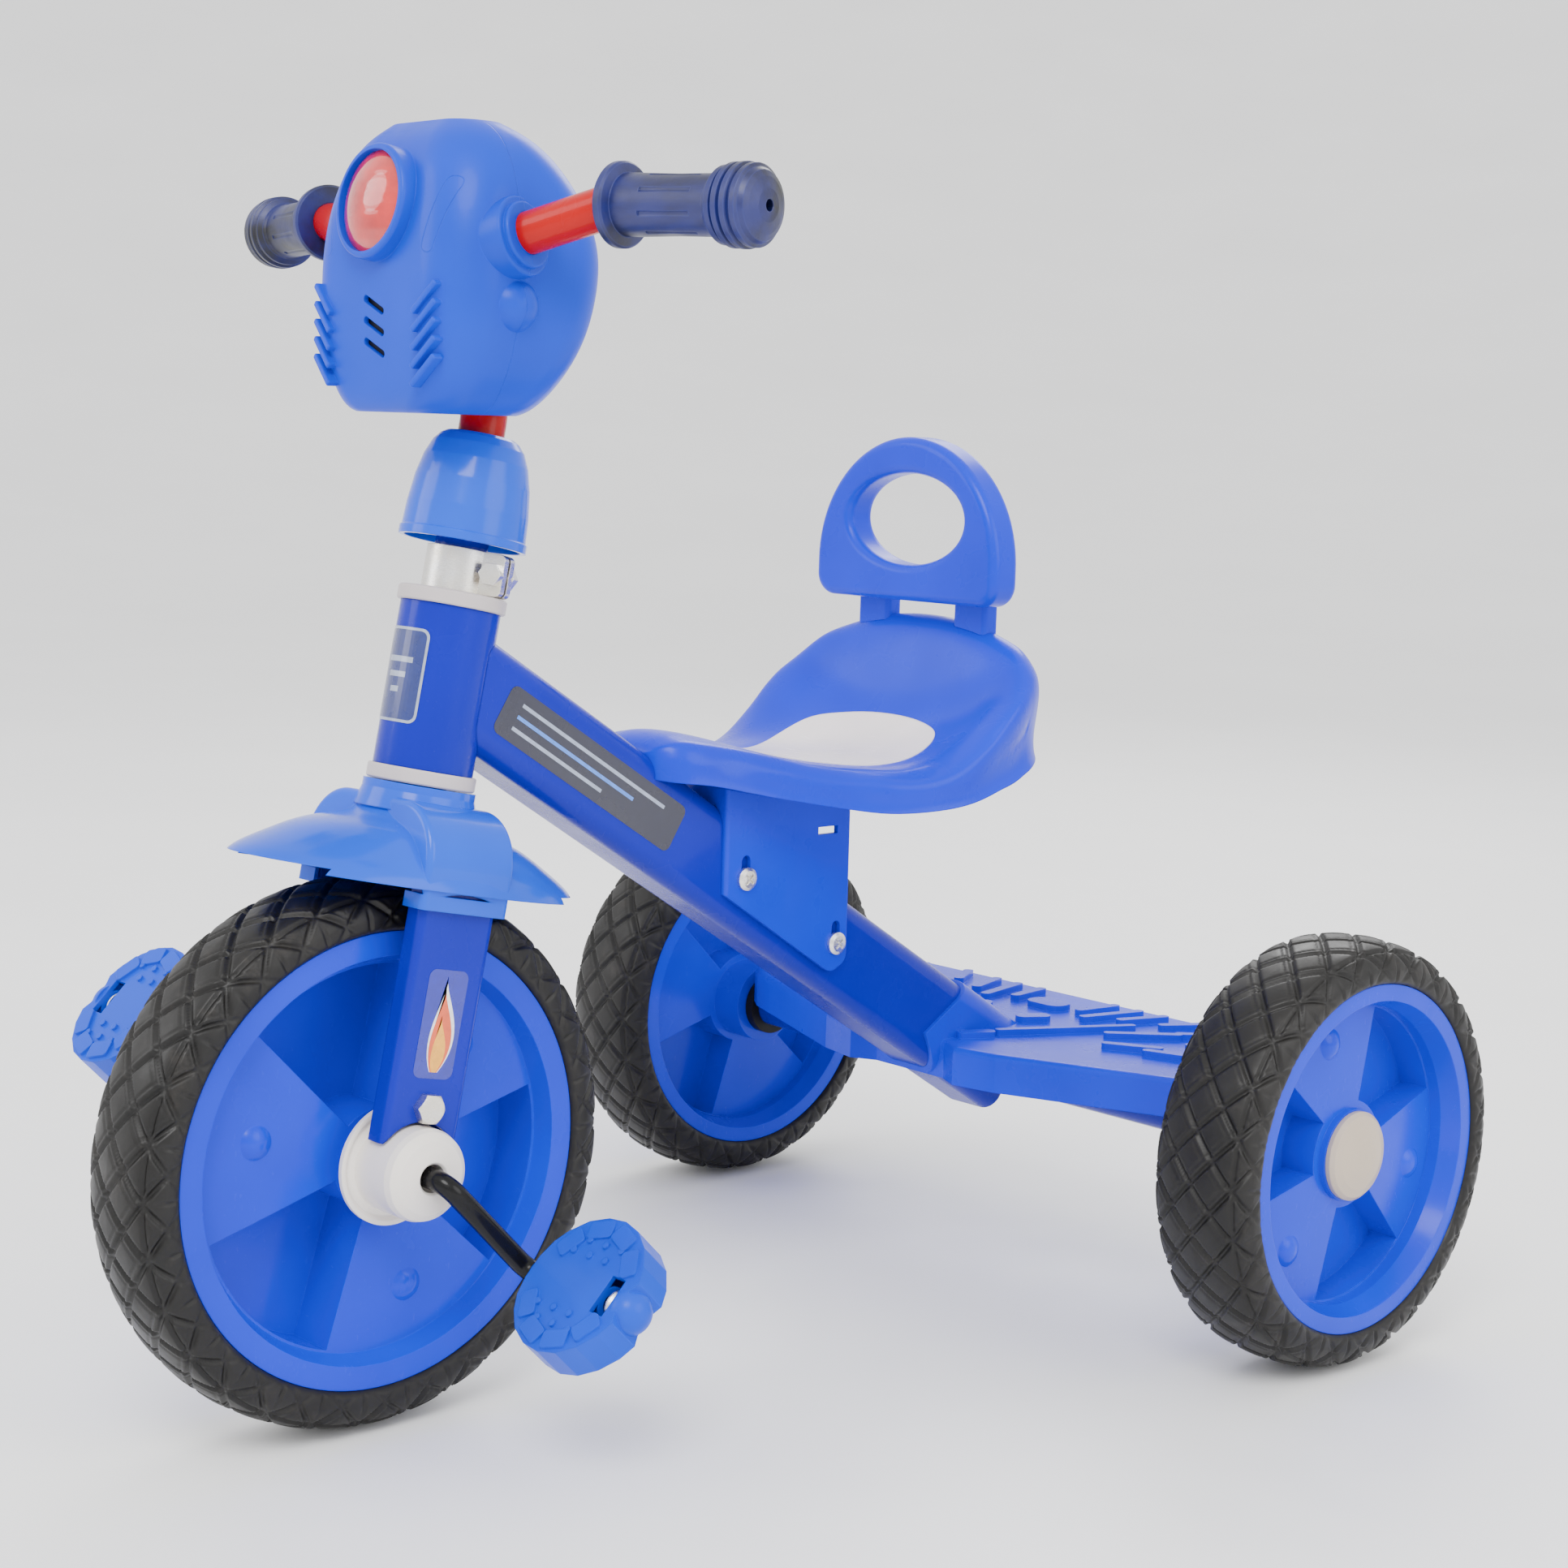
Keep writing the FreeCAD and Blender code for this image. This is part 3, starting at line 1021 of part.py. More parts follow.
def housing_parts():
    outer = housing_solid(0)
    bezel = Part.makeCylinder(26.0, 14.0, V(0, -196.0, 563.0), lens_axis())
    bezel = bezel.makeFillet(2.0, [e for e in bezel.Edges if e.Closed and e.BoundBox.YMin < -208])
    outer = outer.fuse(side_collars() + [bezel])
    for side in (-1, 1):
        for index in range(5):
            rib = Part.makeBox(3.0, 6.0, 20.0, V(-1.5, 0, -10.0))
            rib = rib.makeFillet(1.0, rib.Edges)
            rib = rotated(rib, V(0, 1, 0), side * 48)
            rib = rotated(rib, V(0, 0, 1), side * 8)
            outer = outer.fuse(moved(rib, side * 40.0, -208.0, 490.0 + index * 8.0))
    inner = housing_solid(HOUSING_WALL)
    shell = outer.cut(inner)
    lens_hole = Part.makeCylinder(21.0, 60.0, V(0, -180.0, 560.8), lens_axis())
    lens_seat = Part.makeCylinder(23.0, 20.0, V(0, -205.2, 564.3), lens_axis())
    shell = shell.cut([lens_hole, lens_seat])
    shell = shell.cut(handlebar_solid())
    strip = Part.Face(rounded_rectangle(7.0, 34.0, 3.2))
    strip.rotate(V(0, 0, 0), V(1, 0, 0), 90)
    strips = []
    for side in (-1, 1):
        face = rotated(strip, V(0, 1, 0), side * 14)
        face.translate(V(side * 42.0, -160.0, 558.0))
        strips.append(face.extrude(V(0, -60, 0)))
    shell = shell.cut(strips)
    for index in range(3):
        slot = Part.Face(rounded_rectangle(17.0, 3.4, 1.6))
        slot.rotate(V(0, 0, 0), V(1, 0, 0), 90)
        slot.rotate(V(0, 0, 0), V(0, 1, 0), 24)
        slot.translate(V(0, -180.0, 500.0 + index * 9.5))
        shell = shell.cut(slot.extrude(V(0, -60, 0)))
    front_side = Part.makeBox(300, 200, 300, V(-150, HOUSING_SEAM_Y - 200, 400))
    front = shell.common(front_side)
    rear = shell.cut(front_side)
    front = max(front.Solids, key=lambda solid: solid.Volume)
    rear = max(rear.Solids, key=lambda solid: solid.Volume)
    export(front, "head_shell_front")
    export(rear, "head_shell_rear")

    lens = Part.makeSphere(44.0, V(0, -205.2, 564.3) - lens_axis() * 36.0)
    lens = lens.common(Part.makeCylinder(23.0, 20.0, V(0, -205.2, 564.3), lens_axis()))
    export(lens, "lens_round")
    strip_lenses = []
    skin = outer.cut(housing_solid(HOUSING_WALL))
    for tool in strips:
        piece = skin.common(tool)
        piece = min(piece.Solids, key=lambda solid: solid.BoundBox.YMin)
        strip_lenses.append(piece)
    export(strip_lenses[0], "lens_marker_right")
    export(strip_lenses[1], "lens_marker_left")
    speaker = Part.makeCylinder(20.0, 3.0, V(0, -203.0, 509.5), V(0, 1, 0))
    speaker = speaker.fuse(Part.makeCone(17.0, 9.0, 9.0, V(0, -200.0, 509.5), V(0, 1, 0)))
    export(speaker.common(inner), "speaker")


def steering_parts():
    bar = handlebar_solid().cut(handlebar_solid(BAR_WALL))
    export(bar.removeSplitter(), "handlebar")
    grip = grip_solid()
    export(grip, "grip_left")
    export(mirrored_x(grip), "grip_right")
    export(to_steering(stem_cover_solid()), "stem_cover")


# ---------------------------------------------------------------- stickers
def shield_prism(s0, s1, half):
    outline = [V(0, -60, s0), V(half * 0.75, -60, s0 + 4), V(half, -60, s0 + 12), V(half, -60, s1 - 2),
               V(0, -60, s1), V(-half, -60, s1 - 2), V(-half, -60, s0 + 12), V(-half * 0.75, -60, s0 + 4)]
    return polygon_face(outline).extrude(V(0, 60, 0))


def side_plate(length, height, corner):
    """Thin plate in the YZ plane, its length along +Y."""
    face = Part.Face(rounded_rectangle(length, height, corner))
    face.rotate(V(0, 0, 0), V(0, 0, 1), 90)
    face.rotate(V(0, 0, 0), V(0, 1, 0), 90)
    return face


def sticker_parts():
    ring = Part.makeCylinder(HEAD_R + STICKER_T, 60.0, V(0, 0, STICKER_HEAD_S[0] - 5))
    ring = ring.cut(Part.makeCylinder(HEAD_R, 60.0, V(0, 0, STICKER_HEAD_S[0] - 5)))
    shield = shield_prism(STICKER_HEAD_S[0], STICKER_HEAD_S[1], 16.0)
    export(to_steering(ring.common(shield)), "head_tube_sticker")

    banner = side_plate(STICKER_TUBE[0], STICKER_TUBE[1], 4.0)
    banner = rotated(banner, V(1, 0, 0), -TUBE_SLOPE)
    banner = moved(banner, TUBE_W / 2, STICKER_TUBE[2], axis_z(STICKER_TUBE[2]))
    export(banner.extrude(V(STICKER_T, 0, 0)), "main_tube_sticker")

    leg = rotated(side_plate(STICKER_LEG[0], STICKER_LEG[1], 4.0), V(1, 0, 0), 90)
    leg = moved(leg, FORK_OUT_X, 0, STICKER_LEG[2])
    export(to_steering(leg.extrude(V(STICKER_T, 0, 0))), "fork_sticker")


front_wheel_parts()
crank_part()
rear_wheel_parts()
frame_parts()
headset_parts()
seat_parts()
step_board_part()
fork_part()
mudguard_part()
hub_housing_parts()
pedal_parts()
stem_clamp_parts()
steering_parts()
housing_parts()
sticker_parts()
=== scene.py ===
import math

import bmesh
import bpy
import numpy as np
from mathutils import Matrix, Vector


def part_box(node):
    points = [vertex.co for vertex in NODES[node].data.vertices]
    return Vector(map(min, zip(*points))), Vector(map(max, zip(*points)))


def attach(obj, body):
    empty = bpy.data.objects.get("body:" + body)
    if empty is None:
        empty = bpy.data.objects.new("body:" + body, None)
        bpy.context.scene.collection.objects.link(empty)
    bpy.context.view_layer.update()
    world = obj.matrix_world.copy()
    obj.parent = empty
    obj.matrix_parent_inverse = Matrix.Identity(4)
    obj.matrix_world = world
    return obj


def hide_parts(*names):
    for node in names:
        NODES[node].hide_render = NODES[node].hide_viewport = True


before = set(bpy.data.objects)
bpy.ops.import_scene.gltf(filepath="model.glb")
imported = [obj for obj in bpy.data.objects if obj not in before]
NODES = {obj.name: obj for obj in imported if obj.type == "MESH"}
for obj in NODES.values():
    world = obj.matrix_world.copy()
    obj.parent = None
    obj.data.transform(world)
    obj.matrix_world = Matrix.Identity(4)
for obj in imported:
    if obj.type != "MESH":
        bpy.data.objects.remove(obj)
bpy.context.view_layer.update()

MM = 0.001


# ---------------------------------------------------------------- shader helpers
def srgb(red, green, blue):
    """Linear colour from 0-255 display values."""
    out = []
    for value in (red, green, blue):
        v = value / 255
        out.append(v / 12.92 if v <= 0.04045 else ((v + 0.055) / 1.055) ** 2.4)
    return (*out, 1.0)


def scaled(colour, k):
    return (min(colour[0] * k, 1), min(colour[1] * k, 1), min(colour[2] * k, 1), 1.0)


EDGE_STARTS, EDGE_FULL = 0.995, 0.90     # cosine between the face and its rounded normal


class Graph:
    """A material's node tree with short calls for the nodes used below."""

    def __init__(self, name):
        self.mat = bpy.data.materials.new(name)
        self.mat.use_nodes = True
        self.tree = self.mat.node_tree
        self.tree.nodes.clear()
        self.coords = self.node("ShaderNodeTexCoord").outputs["Object"]

    def node(self, kind, **props):
        made = self.tree.nodes.new(kind)
        for key, value in props.items():
            setattr(made, key, value)
        return made

    def put(self, socket, value):
        if isinstance(value, bpy.types.NodeSocket):
            self.tree.links.new(value, socket)
        else:
            socket.default_value = value

    def noise(self, scale, detail=3.0, rough=0.55, coords=None):
        n = self.node("ShaderNodeTexNoise")
        self.put(n.inputs["Vector"], coords or self.coords)
        self.put(n.inputs["Scale"], scale)
        self.put(n.inputs["Detail"], detail)
        self.put(n.inputs["Roughness"], rough)
        return n.outputs["Fac"]

    def cells(self, scale):
        n = self.node("ShaderNodeTexVoronoi")
        self.put(n.inputs["Vector"], self.coords)
        self.put(n.inputs["Scale"], scale)
        return n.outputs["Distance"]

    def stretched(self, x, y, z):
        n = self.node("ShaderNodeMapping")
        self.put(n.inputs["Vector"], self.coords)
        self.put(n.inputs["Scale"], (x, y, z))
        return n.outputs["Vector"]

    def span(self, value, low, high, to_low, to_high):
        n = self.node("ShaderNodeMapRange")
        for key, v in (("Value", value), ("From Min", low), ("From Max", high),
                       ("To Min", to_low), ("To Max", to_high)):
            self.put(n.inputs[key], v)
        return n.outputs["Result"]

    def math(self, operation, a, b=0.5):
        n = self.node("ShaderNodeMath", operation=operation)
        self.put(n.inputs[0], a)
        self.put(n.inputs[1], b)
        return n.outputs[0]

    def mix(self, factor, a, b):
        n = self.node("ShaderNodeMix", data_type="RGBA")
        self.put(n.inputs["Factor"], factor)
        self.put(n.inputs[6], a)
        self.put(n.inputs[7], b)
        return n.outputs[2]

    def bump(self, height, distance, strength=1.0, normal=None):
        n = self.node("ShaderNodeBump")
        self.put(n.inputs["Height"], height)
        self.put(n.inputs["Distance"], distance)
        self.put(n.inputs["Strength"], strength)
        if normal:
            self.put(n.inputs["Normal"], normal)
        return n.outputs["Normal"]

    def soft_edges(self, radius):
        """(normal rounded over edges, mask that is 1 on sharp outer and inner edges)."""
        bevel = self.node("ShaderNodeBevel", samples=4)
        self.put(bevel.inputs["Radius"], radius)
        flat = self.node("ShaderNodeNewGeometry").outputs["Normal"]
        dot = self.node("ShaderNodeVectorMath", operation="DOT_PRODUCT")
        self.put(dot.inputs[0], bevel.outputs["Normal"])
        self.put(dot.inputs[1], flat)
        return bevel.outputs["Normal"], self.span(dot.outputs["Value"], EDGE_STARTS, EDGE_FULL,
                                                      0.0, 1.0)

    def finish(self, **sockets):
        shader = self.node("ShaderNodeBsdfPrincipled")
        for key, value in sockets.items():
            self.put(shader.inputs[key.replace("_", " ")], value)
        out = self.node("ShaderNodeOutputMaterial")
        self.tree.links.new(shader.outputs[0], out.inputs["Surface"])
        return self.mat


# ---------------------------------------------------------------- materials
PLASTIC_EDGE, PAINT_EDGE = 0.0009, 0.0012     # metres of rounding over edges
FILM_SPECULAR = 0.14
PLASTIC_GLOW = (0.004, 0.006, 0.012)          # metres of scatter in red, green and blue
PRIMER = (0.30, 0.31, 0.34, 1.0)


def plastic(name, colour, rough=0.28, coat=0.07, peel=0.00006, sink=0.0009, glow=0.03,
            scuffs=0.35):
    """Moulded plastic: cloudy colour, sink marks, fine peel, edges lightened partly as rubbed wear
    and partly as painted highlight, scuffs.
    """
    g = Graph(name)
    cloud = g.noise(scale=14.0, detail=2.0)
    base = g.mix(g.span(cloud, 0.3, 0.7, 0.0, 1.0), scaled(colour, 0.90), scaled(colour, 1.08))
    normal, edge = g.soft_edges(PLASTIC_EDGE)
    # lighter along edges: partly rubbed wear, partly painted highlight
    worn_and_highlight = g.math("MULTIPLY", edge, g.span(g.noise(scale=90.0), 0.42, 0.6, 0.1, 0.55))
    base = g.mix(worn_and_highlight, base, scaled(colour, 1.5))
    drawn = g.stretched(1.0, 6.0, 2.5)
    scuff = g.noise(scale=60.0, detail=6.0, rough=0.7, coords=drawn)
    scuff = g.span(scuff, 0.60, 0.74, 0.0, scuffs)
    sheen = g.span(g.noise(scale=35.0), 0.3, 0.7, rough - 0.05, rough + 0.07)
    roughness = g.math("ADD", sheen, g.math("MULTIPLY", scuff, 0.5))
    normal = g.bump(g.noise(scale=22.0, detail=1.0), sink, 0.5, normal)
    normal = g.bump(g.noise(scale=1400.0, detail=2.0), peel, 0.6, normal)
    return g.finish(Base_Color=base, Roughness=roughness, Normal=normal,
                    Specular_IOR_Level=FILM_SPECULAR, Coat_Weight=coat,
                    Coat_Roughness=0.12, Subsurface_Weight=glow,
                    Subsurface_Radius=PLASTIC_GLOW, Subsurface_Scale=1.0)


def paint(name, colour, chips=1.0):
    """Baked gloss paint on steel: orange peel, small chips along edges, hairlines."""
    g = Graph(name)
    cloud = g.noise(scale=9.0, detail=2.0)
    base = g.mix(g.span(cloud, 0.3, 0.7, 0.0, 1.0), scaled(colour, 0.88), scaled(colour, 1.10))
    normal, edge = g.soft_edges(PAINT_EDGE)
    spots = g.span(g.noise(scale=420.0, detail=4.0, rough=0.7), 0.655, 0.685, 0.0, 1.0)
    near_edge = g.math("MULTIPLY", edge, 0.9)
    chipped = g.math("MULTIPLY", spots, g.math("MULTIPLY", near_edge, chips))
    stray = g.noise(scale=260.0, detail=5.0, rough=0.75)
    stray = g.span(stray, 0.735, 0.745, 0.0, 0.7 * chips)
    mask = g.math("MAXIMUM", chipped, stray)
    base = g.mix(mask, base, PRIMER)
    drawn = g.stretched(1.0, 9.0, 3.0)
    hair = g.noise(scale=120.0, detail=5.0, rough=0.7, coords=drawn)
    hair = g.span(hair, 0.62, 0.72, 0.0, 0.18)
    roughness = g.math("ADD", g.span(g.noise(scale=40.0), 0.3, 0.7, 0.20, 0.30), hair)
    normal = g.bump(g.noise(scale=320.0, detail=1.0), 0.00012, 0.5, normal)
    normal = g.bump(mask, -0.0001, 0.8, normal)
    return g.finish(Base_Color=base, Roughness=roughness, Normal=normal,
                    Specular_IOR_Level=FILM_SPECULAR, Coat_Weight=0.15, Coat_Roughness=0.06)


def metal(name, colour, rough=0.26, stretch=(1.0, 1.0, 12.0)):
    """Zinc plate: faint yellow passivation, drawn lines and handling marks."""
    g = Graph(name)
    tint = g.span(g.noise(45.0, 3.0), 0.4, 0.68, 0.0, 0.6)
    base = g.mix(tint, colour, (colour[0], colour[1] * 0.90, colour[2] * 0.66, 1.0))
    normal, edge = g.soft_edges(0.0005)
    # brighter along edges: partly wear, partly painted highlight
    base = g.mix(g.math("MULTIPLY", edge, 0.5), base, (0.92, 0.92, 0.93, 1.0))
    lines = g.noise(500.0, 4.0, 0.6, g.stretched(*stretch))
    roughness = g.math("ADD", g.span(lines, 0.3, 0.7, rough - 0.06, rough + 0.14),
                       g.span(g.noise(160.0), 0.6, 0.8, 0.0, 0.2))
    normal = g.bump(lines, 0.00006, 0.5, normal)
    return g.finish(Base_Color=base, Metallic=1.0, Roughness=roughness, Normal=normal)


def foam_rubber():
    """Satin moulded foam: brown-black, pores, dust in the grooves, soft shine."""
    g = Graph("tyre_foam")
    base = g.mix(g.span(g.noise(26.0, 4.0), 0.35, 0.7, 0.0, 1.0), srgb(10, 9, 8), srgb(22, 20, 18))
    dust = g.span(g.noise(70.0, 6.0, 0.7), 0.56, 0.76, 0.0, 0.14)
    base = g.mix(dust, base, srgb(96, 88, 80))
    roughness = g.span(g.noise(55.0, 4.0), 0.3, 0.7, 0.38, 0.56)
    pores = g.span(g.cells(1500.0), 0.0, 0.35, 0.0, 1.0)
    normal = g.bump(pores, 0.00008, 0.35)
    normal = g.bump(g.noise(240.0, 4.0), 0.00022, 0.5, normal)
    return g.finish(Base_Color=base, Roughness=roughness, Normal=normal, Specular_IOR_Level=0.34)


def lens_red():
    g = Graph("lens_red")
    base = g.mix(g.span(g.noise(80.0), 0.3, 0.7, 0.0, 1.0), srgb(190, 12, 18), srgb(238, 40, 36))
    ribs = g.node("ShaderNodeTexWave", wave_type="RINGS", rings_direction="Y")
    g.put(ribs.inputs["Vector"], g.coords)
    g.put(ribs.inputs["Scale"], 60.0)
    normal = g.bump(ribs.outputs["Fac"], 0.0003, 0.35, g.soft_edges(0.0008)[0])
    return g.finish(Base_Color=base, Roughness=g.span(g.noise(300.0), 0.3, 0.7, 0.04, 0.12),
                    Normal=normal, Transmission_Weight=0.25, Coat_Weight=1.0, Coat_Roughness=0.03)


def grip_vinyl():
    """Navy vinyl with smoky swirls and a satin skin."""
    g = Graph("grip_vinyl")
    swirl = g.span(g.noise(34.0, 5.0, 0.6, g.stretched(0.35, 1.0, 1.0)), 0.40, 0.64, 0.0, 1.0)
    base = g.mix(swirl, srgb(18, 26, 92), srgb(7, 8, 20))
    normal, edge = g.soft_edges(0.0007)
    # lighter along edges: partly wear, partly painted highlight
    base = g.mix(g.math("MULTIPLY", edge, 0.35), base, srgb(60, 74, 160))
    normal = g.bump(g.noise(900.0, 3.0), 0.00010, 0.5, normal)
    return g.finish(Base_Color=base, Roughness=g.span(g.noise(60.0), 0.3, 0.7, 0.36, 0.52),
                    Normal=normal)


def printed(name, colour):
    """Screen-printed film: slight mottling in the ink under a glossy clear layer."""
    g = Graph(name)
    base = g.mix(g.span(g.noise(240.0, 4.0), 0.35, 0.7, 0.0, 1.0), scaled(colour, 0.86),
                 scaled(colour, 1.08))
    normal = g.bump(g.noise(160.0, 2.0), 0.00008, 0.5)
    return g.finish(Base_Color=base, Roughness=g.span(g.noise(90.0), 0.3, 0.7, 0.22, 0.38),
                    Normal=normal, Coat_Weight=0.7, Coat_Roughness=0.08)


ROYAL = srgb(0, 14, 160)
BRIGHT = srgb(0, 38, 206)
SKY = srgb(0, 76, 212)
HEAD = srgb(0, 56, 196)
MAT = {
    "paint": paint("frame_paint", ROYAL),
    "red": paint("red_paint", srgb(168, 0, 0), chips=0.5),
    "black_steel": paint("black_steel", srgb(14, 14, 15), chips=0.4),
    "blue": plastic("plastic_blue", BRIGHT),
    "rim": plastic("rim_blue", srgb(0, 42, 208), rough=0.22, coat=0.126, sink=0.0012),
    "sky": plastic("plastic_sky", SKY, rough=0.16, coat=0.245),
    "head": plastic("head_blue", HEAD, rough=0.36, coat=0.056),
    "pedal": plastic("pedal_blue", srgb(0, 66, 204), rough=0.34, coat=0.07, sink=0.0004),
    "pale": plastic("pale_plastic", srgb(190, 182, 182), rough=0.34, coat=0.07),
    "cream": plastic("cap_cream", srgb(182, 168, 150), rough=0.30, coat=0.14, sink=0.0006),
    "grey": plastic("hub_grey", srgb(232, 226, 218), rough=0.26, coat=0.21),
    "white": plastic("inlay_white", srgb(244, 236, 232), rough=0.22, coat=0.21),
    "black": plastic("black_plastic", srgb(24, 24, 25), rough=0.42, coat=0.0),
    "zinc": metal("zinc_plate", (0.78, 0.78, 0.79, 1.0)),
    "foam": foam_rubber(), "lens": lens_red(), "grip": grip_vinyl(),
    "film": printed("sticker_film", srgb(20, 22, 46)),
    "clear": printed("sticker_clear", ROYAL),
}
LOOKS = {
    "paint": ("head_tube", "main_tube", "rear_axle_tube", "fork"),
    "red": ("handlebar",), "black_steel": ("crank_axle",),
    "blue": ("seat_shell", "backrest", "seat_pedestal", "step_board"),
    "rim": ("front_rim", "rear_rim_left", "rear_rim_right"),
    "sky": ("mudguard", "stem_cover"), "head": ("head_shell_front", "head_shell_rear",
             "lens_marker_left", "lens_marker_right"),
    "pedal": ("pedal_left", "pedal_right"),
    "pale": ("headset_collar_lower", "headset_collar_upper"),
    "cream": ("hub_cap_left", "hub_cap_right"),
    "grey": ("hub_housing_left", "hub_housing_right"), "white": ("seat_inlay",),
    "black": ("axle_bush_left", "axle_bush_right", "speaker"),
    "zinc": ("rear_axle_rod", "axle_push_nuts", "seat_screws", "seat_nuts", "fork_bolts",
             "fork_nuts", "stem_clamp", "stem_clamp_bolt", "stem_clamp_nut",
             "pedal_push_nut_left", "pedal_push_nut_right"),
    "lens": ("lens_round",),
    "grip": ("grip_left", "grip_right"),
    "film": ("head_tube_sticker", "main_tube_sticker"), "clear": ("fork_sticker",),
    "foam": ("front_tyre", "rear_tyre_left", "rear_tyre_right"),
}
for look, names in LOOKS.items():
    for name in names:
        data = NODES[name].data
        data.materials.clear()
        data.materials.append(MAT[look])


# ---------------------------------------------------------------- mesh helpers
def link(name, verts, faces, material, smooth=True):
    data = bpy.data.meshes.new(name)
    data.from_pydata(verts, [], faces)
    data.validate()
    data.materials.append(material)
    data.polygons.foreach_set("use_smooth", [smooth] * len(data.polygons))
    data.update()
    made = bpy.data.objects.new(name, data)
    bpy.context.scene.collection.objects.link(made)
    return made


# ---------------------------------------------------------------- tyres
def smooth_step(low, high, value):
    t = np.clip((value - low) / (high - low), 0, 1)
    return t * t * (3 - 2 * t)


def line_mask(phase, period_mm, width_mm):
    """1 on the lines where phase is whole, falling to 0 at width_mm on each side."""
    distance = np.abs(phase - np.round(phase)) * period_mm
    return 1 - smooth_step(0.25 * width_mm, width_mm, distance)


# tread, in millimetres unless said otherwise
BLOCK = 0.72                       # side of a lattice block as a share of the pitch
LATTICE_LEAN = 1.15                # slope of the lattice lines
GROOVE_W, GROOVE_DEPTH = 2.1, 1.9
RING_W, RING_SPAN = 1.3, 1.10      # span as a share of the half width
INSET_W, INSET_DEPTH, INSET_SHIFT = 0.9, 0.45, 0.22
CROSS_W, CROSS_DEPTH = 1.7, 1.1
SHOULDER = (0.62, 0.92)            # shares of the half width
SEAM, SEAM_HEIGHT = (0.2, 0.7), 0.12
PILLOW_HEIGHT, CROWN_DROP = 0.28, 0.75


def tread_height(angle, across, radius, half, cells):
    """Millimetres above the plain crown: lattice grooves, pillowed blocks, inset ridges."""
    pitch = 2 * math.pi * radius / cells
    a = angle * cells / (2 * math.pi)
    b = across / pitch * LATTICE_LEAN
    groove = np.maximum(line_mask(a + b, pitch * BLOCK, GROOVE_W),
                        line_mask(a - b, pitch * BLOCK, GROOVE_W))
    ring = line_mask(across / (half * RING_SPAN) + 0.5, half * RING_SPAN, RING_W)
    groove = np.maximum(groove, ring * 0.8)
    inset = np.maximum(line_mask(a + b + INSET_SHIFT, pitch * BLOCK, INSET_W),
                       line_mask(a - b - INSET_SHIFT, pitch * BLOCK, INSET_W))
    shoulder = smooth_step(half * SHOULDER[0], half * SHOULDER[1], np.abs(across))
    cross = line_mask(a, pitch, CROSS_W) * shoulder
    pillow = np.abs(np.sin(math.pi * (a + b)) * np.sin(math.pi * (a - b)))
    seam = 1 - smooth_step(*SEAM, np.abs(across))
    height = (PILLOW_HEIGHT * pillow - GROOVE_DEPTH * groove * (1 - 0.6 * shoulder)
              - INSET_DEPTH * inset * (1 - shoulder))
    return height - CROSS_DEPTH * cross + SEAM_HEIGHT * seam - CROWN_DROP


def tyre_profile(r_out, half, r_rim, rim_half, samples):
    """Crown from one rim edge to the other as (x, radius) with outward normals."""
    side = r_rim + 4
    crown = [(rim_half + 0.3, r_rim + 0.3), (half * 0.985, side - 2.0), (half, side + 3.0),
             (half * 0.965, r_out - 12.0), (half * 0.88, r_out - 6.4), (half * 0.72, r_out - 3.2),
             (half * 0.50, r_out - 1.4), (half * 0.25, r_out - 0.4), (0.0, r_out - 0.05)]
    points = [(-x, r) for x, r in crown] + [(x, r) for x, r in reversed(crown[:-1])]
    p = np.array(points)
    for _ in range(3):
        fine = [p[0]]
        for u, v in zip(p, p[1:]):
            fine += [0.75 * u + 0.25 * v, 0.25 * u + 0.75 * v]
        fine.append(p[-1])
        p = np.array(fine)
    length = np.concatenate([[0], np.cumsum(np.hypot(*np.diff(p, axis=0).T))])
    at = np.linspace(0, length[-1], samples)
    x = np.interp(at, length, p[:, 0])
    r = np.interp(at, length, p[:, 1])
    tx, tr = np.gradient(x), np.gradient(r)
    size = np.hypot(tx, tr)
    return x, r, -tr / size, tx / size, at - length[-1] / 2


BEAD_FADE, BEAD_LIP = 7, 4.0


def tyre_piece(node, body, bead_drop, cells, turns, samples, rim_gap):
    low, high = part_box(node)
    centre = (low + high) / 2
    r_out = (high.z - low.z) / 2 / MM
    half = (high.x - low.x) / 2 / MM
    r_rim = r_out - rim_gap[0]
    rim_half = half - rim_gap[1]
    x, r, nx, nr, across = tyre_profile(r_out, half, r_rim, rim_half, samples)
    angle = np.linspace(0, 2 * math.pi, turns, endpoint=False)
    height = tread_height(angle[:, None], across[None, :], r_out, across[-1], cells)
    fade = smooth_step(0, BEAD_FADE, across[-1] - np.abs(across))[None, :]
    height = height * fade
    px = x[None, :] + nx[None, :] * height
    pr = r[None, :] + nr[None, :] * height
    bead = [(rim_half - BEAD_LIP, r_rim), (rim_half - BEAD_LIP, r_rim - bead_drop),
            (BEAD_LIP - rim_half, r_rim - bead_drop), (BEAD_LIP - rim_half, r_rim)]
    px = np.hstack([px, np.tile([b[0] for b in bead], (turns, 1))])
    pr = np.hstack([pr, np.tile([b[1] for b in bead], (turns, 1))])
    columns = px.shape[1]
    verts = np.stack([px, pr * -np.cos(angle)[:, None], pr * np.sin(angle)[:, None]], -1)
    verts = verts.reshape(-1, 3) * MM + np.array(centre)
    i = np.arange(turns)[:, None]
    j = np.arange(columns)[None, :]
    ahead, beside = (i + 1) % turns, (j + 1) % columns
    quads = np.stack([i * columns + j, ahead * columns + j, ahead * columns + beside,
                      i * columns + beside], -1).reshape(-1, 4)
    made = link(node + "_tread", verts.tolist(), quads.tolist(), MAT["foam"])
    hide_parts(node)
    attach(made, body)


PROFILE_SAMPLES = 84
